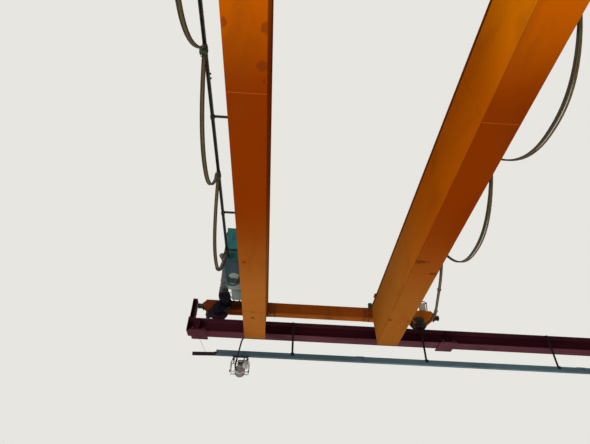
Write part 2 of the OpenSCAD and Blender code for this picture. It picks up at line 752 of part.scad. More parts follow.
module collector_arm() {
    r = 11;
    foot = 50;
    front = cond_y - coll_d / 2 - r - seat;
    top = [girder_x - girder_w / 2 + foot / 2, flange_end - foot / 2, girder_z];
    route = smooth([top + [0, 0, -8.5], [848, -280, -200], [812, -264, -300], [788, -250, -404], [774, -230, -500],
        [766, front - 6, -590], [770, front, -650]], 3);
    color("#2c2b30") {
        translate(top - [foot / 2, foot / 2, 8]) cube([foot, foot, 8]);
        sweep(route, [for (p = route) r]);
        bar([766, front - 5, -588], [coll_x + 6, front, -655], r * 0.8);
    }
}

// Trolley, parked at the near end: a frame on four wheels that carries the hoist
trolley_cy = -span + trolley_y;
trolley_z = girder_top + trolley_rail_h + seat + trolley_wheel_r;
truck_w = 130;
truck_h = 190;
truck_l = trolley_base + 330;
truck_z = trolley_z - 30;
frame_top = truck_z + truck_h;
beam_b = 120;
beam_reach = 440;
drum_shaft_r = 45;
drum_z = frame_top + drum_r + 50;
tow_x = track_x - 90;
tow_t = 10;
module truck(x) {
    pocket = 84;
    difference() {
        translate([x - truck_w / 2, trolley_cy - truck_l / 2, truck_z]) cube([truck_w, truck_l, truck_h]);
        for (s = [-1, 1]) translate([x, trolley_cy + s * trolley_base / 2, trolley_z]) {
            translate([-pocket / 2, -trolley_wheel_r - 10, -truck_h])
                cube([pocket, 2 * trolley_wheel_r + 20, truck_h + trolley_wheel_r + 10]);
            translate([-truck_w, 0, 0]) rotate([0, 90, 0]) cylinder(h = 2 * truck_w, r = 20 + shaft_gap);
        }
    }
}
module trolley_frame() {
    l = gauge - truck_w;
    h = 170;
    post = 40;
    color("#d4660f") {
        truck(girder_x);
        truck(girder_right);
        for (y = [-1, 1]) translate([girder_x + truck_w / 2, trolley_cy + y * beam_reach - beam_b / 2, frame_top - h])
            cube([l, beam_b, h]);
        translate([girder_x + truck_w / 2, fall_back - 50, frame_top - anchor_h]) cube([l, 100, anchor_h]);
        for (s = [-1, 1]) difference() {
            translate([bridge_x + s * (drum_l / 2 + 60) - post / 2, 0, 0]) rotate([90, 0, 90])
                linear_extrude(post) polygon([[trolley_cy - 480, frame_top], [trolley_cy + 480, frame_top],
                    [trolley_cy + 120, drum_z + 90], [trolley_cy - 120, drum_z + 90]]);
            translate([bridge_x - drum_l, trolley_cy, drum_z]) rotate([0, 90, 0])
                cylinder(h = 2 * drum_l, r = drum_shaft_r + shaft_gap);
        }
        // Bent plate that tows the last festoon carrier
        translate([tow_x, carrier_y[loops] - 30, frame_top - 60]) cube([girder_x - truck_w / 2 - tow_x, 60, tow_t]);
        translate([tow_x, carrier_y[loops] - 30, track_z - 50]) cube([tow_t, 60, frame_top - track_z - 10]);
        translate([tow_x, carrier_y[loops] - 20, track_z - 50])
            cube([track_x - pack_w / 2 - 5 - tow_x, 40, tow_t]);
    }
}
module trolley_wheels() {
    color("#39393d") for (x = [girder_x, girder_right], s = [-1, 1])
        translate([x, trolley_cy + s * trolley_base / 2, trolley_z]) rotate([0, 90, 0]) rotate_extrude()
            polygon([[0, -70], [20, -70], [20, -36], [trolley_wheel_r, -36], [trolley_wheel_r, 36],
                [20, 36], [20, 70], [0, 70]]);
}
// Grooved rope drum
module hoist_drum() {
    groove = 20;
    turns = floor((drum_l - 160) / groove);
    rim = drum_r + 25;
    l = drum_l / 2;
    s = drum_shaft_r;
    color("#55565a") translate([bridge_x, trolley_cy, drum_z]) rotate([0, 90, 0])
        rotate_extrude($fn = 64) polygon(concat([[0, -l - 85], [s, -l - 85], [s, -l], [rim, -l], [rim, -l + 30],
            [drum_r, -l + 30]],
            [for (i = [0:2 * turns]) [drum_r - (i % 2) * 5, -l + 70 + i * groove / 2]],
            [[drum_r, l - 30], [rim, l - 30], [rim, l], [s, l], [s, l + 140], [0, l + 140]]));
}
hoist_gear_l = 180;
module hoist_gearbox() {
    x = bridge_x + drum_l / 2 + 100;
    l = hoist_gear_l;
    difference() {
        color("#4f6a68") union() {
            translate([x, trolley_cy - beam_reach - beam_b / 2, frame_top]) cube([l, 2 * beam_reach + beam_b, 20]);
            translate([x, trolley_cy - 240, frame_top]) cube([l, 480, 300]);
            translate([x, trolley_cy, drum_z]) rotate([0, 90, 0]) cylinder(h = l, r = 170);
        }
        translate([x - 1, trolley_cy, drum_z]) rotate([0, 90, 0]) cylinder(h = 50, r = drum_shaft_r + shaft_gap);
    }
}
module hoist_motor() {
    x = bridge_x + drum_l / 2 + 100 + hoist_gear_l;
    color("#4f6a68") translate([x, trolley_cy - 150, frame_top + 150]) rotate([0, 90, 0]) {
        cylinder(h = 20, r = 120);
        cylinder(h = 330, r = 92);
        for (i = [0:9]) translate([0, 0, 40 + i * 20]) cylinder(h = 9, r = 112);
        translate([0, 0, 260]) cylinder(h = 80, r = 116);
    }
}

// Rope falls, bottom block and hook
anchor_h = 100;
fall_front = trolley_cy + drum_r + rope_d / 2 + seat;
block_y = fall_front - sheave_r;
fall_back = block_y - sheave_r;
block_z = girder_z + block_rise;
turn_step = 15;
module rope_falls() {
    turn = [for (a = [0:-turn_step:-180]) [0, block_y + sheave_r * cos(a), block_z + sheave_r * sin(a)]];
    color("#8a8a8a") for (s = [-1, 1]) translate([bridge_x + s * fall_x, 0, 0]) {
        pts = concat([[0, fall_front, drum_z]], turn, [[0, fall_back, frame_top - anchor_h]]);
        sweep(pts, [for (p = pts) rope_d / 2]);
    }
}
module bottom_block() {
    r = sheave_r * cos(turn_step / 2) - rope_d / 2 - seat;
    color("#c9951a") translate([bridge_x, block_y, block_z]) {
        for (s = [-1, 1]) translate([s * fall_x - 18, 0, 0]) rotate([0, 90, 0]) cylinder(h = 36, r = r);
        rotate([0, 90, 0]) cylinder(h = 2 * fall_x + 80, r = 28, center = true);
        for (s = [-1, 1]) translate([s * (fall_x + 25) - 5, -60, -sheave_r - 110]) cube([10, 120, sheave_r + 150]);
        difference() {
            translate([-fall_x - 20, -55, -sheave_r - 100]) cube([2 * fall_x + 40, 110, 70]);
            translate([0, 0, -sheave_r - 101]) cylinder(h = 72, r = 26 + seat);
        }
    }
}
module hook() {
    mean = 78;
    thick = 24;
    open_to = 250;
    drop = sheave_r + 250;
    color("#8c2a1e") translate([bridge_x, block_y, block_z - drop]) {
        translate([0, 0, mean]) cylinder(h = drop - sheave_r - mean - 20, r = 26);
        translate([0, 0, drop - sheave_r - 29.7]) cylinder(h = 26, r = 40, $fn = 6);
        rotate([90, 0, 0]) rotate([0, 0, 90]) {
            rotate_extrude(angle = open_to) translate([mean, 0]) circle(thick);
            rotate([0, 0, open_to]) translate([mean, 0, 0]) sphere(thick);
        }
    }
}

far_runway_beam();
near_runway_beam();
bearing_plates();
crane_rails();
end_stops();
conductor_rail();
conductor_hangers();
left_girder_top_flange();
left_girder_bottom_flange();
left_girder_webs();
right_girder_top_flange();
right_girder_bottom_flange();
right_girder_webs();
girder_end_plates();
trolley_rails();
far_carriage_left_end();
far_carriage_middle();
far_carriage_right_end();
near_carriage_left_end();
near_carriage_middle();
near_carriage_right_end();
splice_plates();
bearing_blocks();
buffers();
far_left_drive();
near_left_drive();
wheel_sensors();
far_left_wheel();
far_right_wheel();
near_left_wheel();
near_right_wheel();
festoon_track();
festoon_arms();
festoon_carriers();
festoon_cable();
side_cable_pegs();
side_cable();
drive_cable_sleeve();
control_cabinet();
junction_box();
collector();
collector_arm();
trolley_frame();
trolley_wheels();
hoist_drum();
hoist_gearbox();
hoist_motor();
rope_falls();
bottom_block();
hook();
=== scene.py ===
import json
import math

import bmesh
import bpy
from mathutils import Matrix, Vector


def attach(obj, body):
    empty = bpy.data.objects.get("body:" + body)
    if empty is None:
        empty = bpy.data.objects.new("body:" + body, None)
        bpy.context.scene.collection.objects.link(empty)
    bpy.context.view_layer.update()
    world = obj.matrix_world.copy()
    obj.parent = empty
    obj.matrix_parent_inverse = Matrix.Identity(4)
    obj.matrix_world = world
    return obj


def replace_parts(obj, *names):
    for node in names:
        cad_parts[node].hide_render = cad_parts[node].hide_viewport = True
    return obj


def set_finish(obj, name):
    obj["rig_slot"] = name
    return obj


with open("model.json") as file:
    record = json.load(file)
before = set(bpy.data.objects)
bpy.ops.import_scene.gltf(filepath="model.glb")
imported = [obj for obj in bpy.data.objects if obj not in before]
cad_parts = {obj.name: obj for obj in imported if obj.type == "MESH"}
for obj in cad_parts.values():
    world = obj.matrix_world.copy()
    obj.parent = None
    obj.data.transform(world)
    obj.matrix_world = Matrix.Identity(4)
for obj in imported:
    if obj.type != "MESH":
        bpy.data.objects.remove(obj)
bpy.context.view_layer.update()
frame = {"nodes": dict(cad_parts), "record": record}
nodes = frame["nodes"]
print("frame loaded with", len(nodes), "nodes")


# Shader helpers. Colours are given without alpha
def fillSockets(tree, made, sockets):
    for key, value in (sockets or {}).items():
        socket = made.inputs[key]
        if isinstance(value, bpy.types.NodeSocket):
            tree.links.new(value, socket)
        else:
            socket.default_value = (*value, 1) if socket.type == "RGBA" else value
    return made


def addNode(tree, kind, sockets=None, **settings):
    made = tree.nodes.new("ShaderNode" + kind)
    for key, value in settings.items():
        setattr(made, key, value)
    return fillSockets(tree, made, sockets)


def mathNode(tree, operation, a, b=0.0):
    return addNode(tree, "Math", {0: a, 1: b}, operation=operation).outputs[0]


def multiply(tree, a, b):
    return mathNode(tree, "MULTIPLY", a, b)


def mixColor(tree, mask, a, b, blend="MIX"):
    return addNode(tree, "Mix", {0: mask, 6: a, 7: b}, data_type="RGBA", blend_type=blend).outputs[2]


def band(tree, value, low, high):
    return addNode(tree, "MapRange", {"Value": value, "From Min": low, "From Max": high},
                   interpolation_type="SMOOTHSTEP").outputs["Result"]


def objectPlace(tree):
    return addNode(tree, "TexCoord").outputs["Object"]


def faceNormal(tree):
    return addNode(tree, "NewGeometry").outputs["Normal"]


def partOf(tree, vector, axis):
    return addNode(tree, "SeparateXYZ", {0: vector}).outputs["XYZ".index(axis)]


def noise(tree, place, scale, detail, more=None):
    return addNode(tree, "TexNoise", {"Vector": place, "Scale": scale, "Detail": detail, **(more or {})}).outputs["Fac"]


# Camera, lights and room
camera = {
    "place": (1.45, -7.5, -3.495),
    "right": (0.99803, -0.05627, 0.02784),
    "forward": (0.02509, 0.76405, 0.64466),
    "focalPixels": 432.33,
    "imageWidth": 590,
    "sensor": 36,
    "reach": 300,
}
room = {
    "floorPlace": (7, -6, -8.6),
    "floorSize": 140,
    "floorColor": (0.78, 0.77, 0.74),
    "floorRoughness": 0.9,
    "backdrop": (0.8, 0.79, 0.75),
    "fill": (0.8, 0.82, 0.85),
    "fillStrength": 0.3,
    "lamps": {
        "roofLight": {"place": (-6, -16, 9), "target": (4, -6, 0), "size": 9, "power": 120, "color": (1, 0.98, 0.94)},
        "windowLight": {"place": (13, 4, -3), "target": (4, -3, 0), "size": 8, "power": 130, "color": (0.93, 0.97, 1)},
        "sideLight": {"place": (-6, -8.5, -2), "target": (3.2, -6.5, 0.3), "size": 7, "power": 900,
                      "color": (1, 0.97, 0.93)},
        "floorLight": {"place": (3, -7, -4.9), "target": (3, -5, 0), "size": 9, "power": 235, "color": (1, 0.96, 0.92)},
        "farLight": {"place": (4, 3, -4.6), "target": (3.5, -2, 0), "size": 9, "power": 500, "color": (1, 0.96, 0.92)},
    },
}


def makeCamera():
    data = bpy.data.cameras.new("photoCamera")
    data.sensor_width = camera["sensor"]
    data.lens = data.sensor_width * camera["focalPixels"] / camera["imageWidth"]
    data.clip_end = camera["reach"]
    rig = bpy.data.objects.new("photoCamera", data)
    bpy.context.scene.collection.objects.link(rig)
    right, forward = Vector(camera["right"]), Vector(camera["forward"])
    turn = Matrix((right, right.cross(forward), -forward)).transposed().to_4x4()
    rig.matrix_world = Matrix.Translation(camera["place"]) @ turn
    bpy.context.scene.camera = rig


# The camera sees a pale backdrop, and everything else is lit by a dimmer fill
def makeWorld():
    bpy.context.scene.view_settings.view_transform = "Standard"
    world = bpy.data.worlds.new("studio")
    bpy.context.scene.world = world
    world.use_nodes = True
    tree = world.node_tree
    tree.nodes.clear()
    rays = addNode(tree, "LightPath").outputs
    direct = mathNode(tree, "MAXIMUM", rays["Is Camera Ray"], rays["Is Glossy Ray"])
    seen = mathNode(tree, "MAXIMUM", direct, rays["Is Transmission Ray"])
    light = addNode(tree, "Background", {"Color": room["fill"], "Strength": room["fillStrength"]})
    shown = addNode(tree, "Background", {"Color": room["backdrop"]})
    mix = addNode(tree, "MixShader", {0: seen, 1: light.outputs[0], 2: shown.outputs[0]})
    addNode(tree, "OutputWorld", {0: mix.outputs[0]})


def makeRoom():
    bpy.ops.mesh.primitive_plane_add(size=room["floorSize"], location=room["floorPlace"])
    floor = bpy.context.object
    floor.name = "paleFloor"
    finish = bpy.data.materials.new("paleFloor")
    finish.use_nodes = True
    fillSockets(finish.node_tree, finish.node_tree.nodes["Principled BSDF"],
                {"Base Color": room["floorColor"], "Roughness": room["floorRoughness"]})
    floor.data.materials.append(finish)
    for name, lamp in room["lamps"].items():
        data = bpy.data.lights.new(name, "AREA")
        data.energy, data.size, data.color = lamp["power"], lamp["size"], lamp["color"]
        light = bpy.data.objects.new(name, data)
        bpy.context.scene.collection.objects.link(light)
        light.location = lamp["place"]
        toward = Vector(lamp["target"]) - Vector(lamp["place"])
        light.rotation_euler = toward.to_track_quat("-Z", "Y").to_euler()


makeCamera()
makeWorld()
makeRoom()
print("camera and room made")


# Scales and details of the noise behind each mask, and the bands that cut it
shading = {
    "patches": {"detail": 7.0, "rough": {"Roughness": 0.62, "Distortion": 0.5}},
    "dust": {"facing": (0.25, 0.9), "scale": 9.0, "detail": 8.0, "grain": (0.2, 0.6)},
    "worn": {"samples": 4, "scale": 14.0, "detail": 6.0, "bend": (0.02, 0.25), "broken": (0.42, 0.62)},
    "relief": {"fineDetail": 3.0, "scale": 2.2, "detail": 4.0, "fineShare": 0.25},
    "spot": {"scale": 26.0, "detail": 5.0, "middle": 0.5, "wave": 2.0, "edge": (1.15, 0.75), "ragged": 0.9},
    "tone": {"Cover": 0.5, "Soft": 0.3},
    "film": {"soft": 0.12, "dull": 0.35},
    "dustDull": 0.3,
    "bump": 0.004,
    "downward": (-0.5, -0.9),
}


# A shader group has its inputs, one output, and a function that builds what is between them
def makeGroup(name, label, inputs, build):
    tree = bpy.data.node_groups.new(name, "ShaderNodeTree")
    for socket, value in inputs.items():
        kind = "NodeSocketVector" if isinstance(value, tuple) else "NodeSocketFloat"
        tree.interface.new_socket(socket, in_out="INPUT", socket_type=kind).default_value = value
    tree.interface.new_socket(label, in_out="OUTPUT", socket_type="NodeSocketFloat")
    made = build(tree, tree.nodes.new("NodeGroupInput").outputs)
    tree.links.new(made, tree.nodes.new("NodeGroupOutput").inputs[label])
    return tree


def placeGroup(tree, group, sockets):
    made = tree.nodes.new("ShaderNodeGroup")
    made.node_tree = group
    return fillSockets(tree, made, sockets).outputs[0]


# Uneven patches of any scale: grime, fading, film
def buildPatches(tree, given):
    turned = addNode(tree, "Mapping", {"Vector": objectPlace(tree), "Scale": given["Stretch"]}).outputs[0]
    broad = noise(tree, turned, given["Scale"], shading["patches"]["detail"], shading["patches"]["rough"])
    edge = mathNode(tree, "SUBTRACT", 1.0, given["Cover"])
    low, high = mathNode(tree, "SUBTRACT", edge, given["Soft"]), mathNode(tree, "ADD", edge, given["Soft"])
    return band(tree, broad, low, high)


# Dust that settles on faces that look up
def buildDust(tree, given):
    s = shading["dust"]
    flat = band(tree, partOf(tree, faceNormal(tree), "Z"), *s["facing"])
    grain = noise(tree, objectPlace(tree), s["scale"], s["detail"])
    return multiply(tree, multiply(tree, flat, given["Amount"]), band(tree, grain, *s["grain"]))


# Wear along edges, found where the bevelled normal leaves the flat one
def buildWornEdges(tree, given):
    s = shading["worn"]
    soft = addNode(tree, "Bevel", {"Radius": given["Radius"]}, samples=s["samples"]).outputs[0]
    same = addNode(tree, "VectorMath", {0: soft, 1: faceNormal(tree)}, operation="DOT_PRODUCT").outputs["Value"]
    broken = noise(tree, objectPlace(tree), s["scale"], s["detail"])
    worn = band(tree, mathNode(tree, "SUBTRACT", 1.0, same), *s["bend"])
    return multiply(tree, multiply(tree, worn, band(tree, broken, *s["broken"])), given["Amount"])


# Fine relief of a sprayed coat over rolled plate
def buildRelief(tree, given):
    s, place = shading["relief"], objectPlace(tree)
    fine = noise(tree, place, given["Grain"], s["fineDetail"])
    wide = noise(tree, place, s["scale"], s["detail"])
    return mathNode(tree, "ADD", multiply(tree, fine, s["fineShare"]), wide)


# One dark spot at a place, ragged at its edge
def buildSpot(tree, given):
    s, place = shading["spot"], objectPlace(tree)
    off = addNode(tree, "VectorMath", {0: place, 1: given["Centre"]}, operation="SUBTRACT").outputs[0]
    near = addNode(tree, "VectorMath", {0: off, 1: given["Size"]}, operation="DIVIDE").outputs[0]
    far = addNode(tree, "VectorMath", {0: near}, operation="LENGTH").outputs["Value"]
    rough = mathNode(tree, "SUBTRACT", noise(tree, place, s["scale"], s["detail"]), s["middle"])
    wave = multiply(tree, multiply(tree, rough, given["Ragged"]), s["wave"])
    return band(tree, mathNode(tree, "ADD", far, wave), *s["edge"])


patches = makeGroup("patches", "Mask", {"Scale": 1.0, "Cover": 0.5, "Soft": 0.15, "Stretch": (1, 1, 1)}, buildPatches)
settledDust = makeGroup("settledDust", "Mask", {"Amount": 0.6}, buildDust)
wornEdges = makeGroup("wornEdges", "Mask", {"Radius": 0.004, "Amount": 0.7}, buildWornEdges)
coatRelief = makeGroup("coatRelief", "Height", {"Grain": 160.0}, buildRelief)
spot = makeGroup("spot", "Mask", {"Centre": (0, 0, 0), "Size": (1, 1, 1), "Ragged": 0.5}, buildSpot)


# Every paint is one recipe: coat, uneven film, streaks, worn edges, dust and fine relief
paintDefaults = {
    "bare": (0.12, 0.05, 0.026), "gloss": 0.5, "shine": 0.2, "metal": 0.0, "toneScale": 0.9, "grimeScale": 3.5,
    "grimeCover": 0.42, "grimeDepth": 0.45, "stretch": (1, 1, 0.25), "edge": 0.004, "wear": 0.6, "dust": 0.65,
    "grain": 160.0, "relief": 0.12, "extras": (),
}
dustColor = (0.33, 0.29, 0.23)


def makePaint(name, given):
    paint = {**paintDefaults, **given}
    finish = bpy.data.materials.new(name)
    finish.use_nodes = True
    tree = finish.node_tree
    tone = placeGroup(tree, patches, {"Scale": paint["toneScale"], **shading["tone"]})
    color = mixColor(tree, tone, paint["coat"], paint["tone"])
    for extra in paint["extras"]:
        color = extra(tree, color)
    film = placeGroup(tree, patches, {"Scale": paint["grimeScale"], "Cover": paint["grimeCover"],
                                      "Soft": shading["film"]["soft"], "Stretch": paint["stretch"]})
    soiled = multiply(tree, film, paint["grimeDepth"])
    color = mixColor(tree, soiled, color, paint["grimeAndShade"])
    edges = placeGroup(tree, wornEdges, {"Radius": paint["edge"], "Amount": paint["wear"]})
    color = mixColor(tree, edges, color, paint["bare"])
    dust = placeGroup(tree, settledDust, {"Amount": paint["dust"]})
    color = mixColor(tree, dust, color, dustColor)
    dull = mathNode(tree, "ADD", multiply(tree, soiled, shading["film"]["dull"]), paint["gloss"])
    relief = placeGroup(tree, coatRelief, {"Grain": paint["grain"]})
    bump = addNode(tree, "Bump", {"Height": relief, "Strength": paint["relief"], "Distance": shading["bump"]})
    fillSockets(tree, tree.nodes["Principled BSDF"], {
        "Base Color": color, "Normal": bump.outputs[0], "Metallic": paint["metal"],
        "Roughness": mathNode(tree, "ADD", dull, multiply(tree, dust, shading["dustDull"])),
        "Specular IOR Level": paint["shine"]})
    return finish


# Painted light and shade on the orange coat: bright near the middle of the span, deep in the shade and browner in
# the light at the far end. Faces that look left catch more light, and webs have painted shade along both flanges
girderLightAndSpots = {
    "bright": (-6.3, -5.2),
    "deep": (0.18, 0.0235, 0.0004),
    "far": (-3.9, -1.6),
    "brown": (0.305, 0.104, 0.016),
    "rightBrown": (0.25, 0.084, 0.012),
    "leftCoat": (0.64, 0.172, 0.0005),
    "leftDeep": (0.37, 0.074, 0.0005),
    "leftBrown": (0.4, 0.136, 0.018),
    "between": (2.0, 2.6),
    "leftward": (-0.3, -0.7),
    "sideways": (0.3, 0.7),
    "strength": {"shade": 0.95, "brown": 0.9, "seam": 0.62},
    "seams": ((-0.104, -0.128), (0.664, 0.684)),
    "seamShadeColor": (0.075, 0.016, 0.001),
    "spots": (
        ((1.222, -5.872, -0.145), (0.05, 0.05, 0.05), 0.5), ((1.19, -5.536, -0.145), (0.042, 0.05, 0.05), 0.5),
        ((0.888, -5.902, -0.145), (0.022, 0.045, 0.05), 0.5), ((1.205, -5.404, -0.145), (0.014, 0.023, 0.05), 0.55),
        ((0.937, -2.626, -0.145), (0.03, 0.03, 0.05), 0.6), ((1.028, -1.231, -0.145), (0.045, 0.02, 0.05), 0.65),
        ((1.024, -1.03, -0.145), (0.035, 0.03, 0.05), 0.7), ((3.282, -2.854, -0.145), (0.074, 0.046, 0.05), 0.8),
        ((3.402, -2.864, -0.145), (0.018, 0.019, 0.05), 0.6), ((3.546, -2.591, -0.145), (0.056, 0.036, 0.05), 0.75),
        ((3.262, -1.209, -0.145), (0.04, 0.036, 0.05), 0.65), ((3.56, -1.19, -0.145), (0.03, 0.03, 0.05), 0.55),
    ),
    "spotColor": (0.085, 0.02, 0.004),
}
# Painted shade: two dark spots on the left carriage ends, right of the drives
noseShadeSpots = {
    "spots": (((0.8, -0.085, 0.6), (0.15, 0.05, 0.11), 0.85),
              ((0.64, -0.085, 0.56), (0.09, 0.05, 0.07), 0.7)),
    "spotColor": (0.03, 0.01, 0.006),
}
railFade = {"from": 1.4, "to": 4.6, "left": (0.66, 0.78, 0.84), "right": (1.34, 1.39, 1.47)}


# Paints the girders' light and shade into the orange coat
def paintedGirderLight(tree, color):
    marks, strength, place = girderLightAndSpots, girderLightAndSpots["strength"], objectPlace(tree)
    x, y, z = (partOf(tree, place, axis) for axis in "XYZ")
    facing = partOf(tree, faceNormal(tree), "X")
    left = band(tree, facing, *marks["leftward"])
    shade = multiply(tree, band(tree, y, *marks["bright"]), strength["shade"])
    far = multiply(tree, band(tree, y, *marks["far"]), strength["brown"])
    color = mixColor(tree, left, color, marks["leftCoat"])
    color = mixColor(tree, shade, color, mixColor(tree, left, marks["deep"], marks["leftDeep"]))
    brown = mixColor(tree, band(tree, x, *marks["between"]), marks["brown"], marks["rightBrown"])
    color = mixColor(tree, far, color, mixColor(tree, left, brown, marks["leftBrown"]))
    sideways = band(tree, mathNode(tree, "ABSOLUTE", facing), *marks["sideways"])
    # Painted shade along the webs next to both flanges
    for start, end in marks["seams"]:
        grimeAndShade = multiply(tree, band(tree, z, start, end), strength["seam"])
        color = mixColor(tree, multiply(tree, grimeAndShade, sideways), color, marks["seamShadeColor"])
    return color


# Dark spots of one paint, each with its own strength
def darkSpotsBy(marks):
    def addSpots(tree, color):
        for centre, size, strength in marks["spots"]:
            mark = placeGroup(tree, spot, {"Centre": centre, "Size": size, "Ragged": shading["spot"]["ragged"]})
            color = mixColor(tree, multiply(tree, mark, strength), color, marks["spotColor"])
        return color
    return addSpots


# The conductor rail is darker toward its left end
def fadeRail(tree, color):
    along = band(tree, partOf(tree, objectPlace(tree), "X"), railFade["from"], railFade["to"])
    return mixColor(tree, 1.0, color, mixColor(tree, along, railFade["left"], railFade["right"]), "MULTIPLY")


# Faces that look down catch the light that the floor throws back
def liftedBy(tint):
    def liftUnderside(tree, color):
        down = band(tree, partOf(tree, faceNormal(tree), "Z"), *shading["downward"])
        return mixColor(tree, down, color, mixColor(tree, 1.0, color, tint, "MULTIPLY"))
    return liftUnderside


def recipe(coat, tone, grimeAndShade, bare=paintDefaults["bare"], **more):
    return {"coat": coat, "tone": tone, "grimeAndShade": grimeAndShade, "bare": bare, **more}


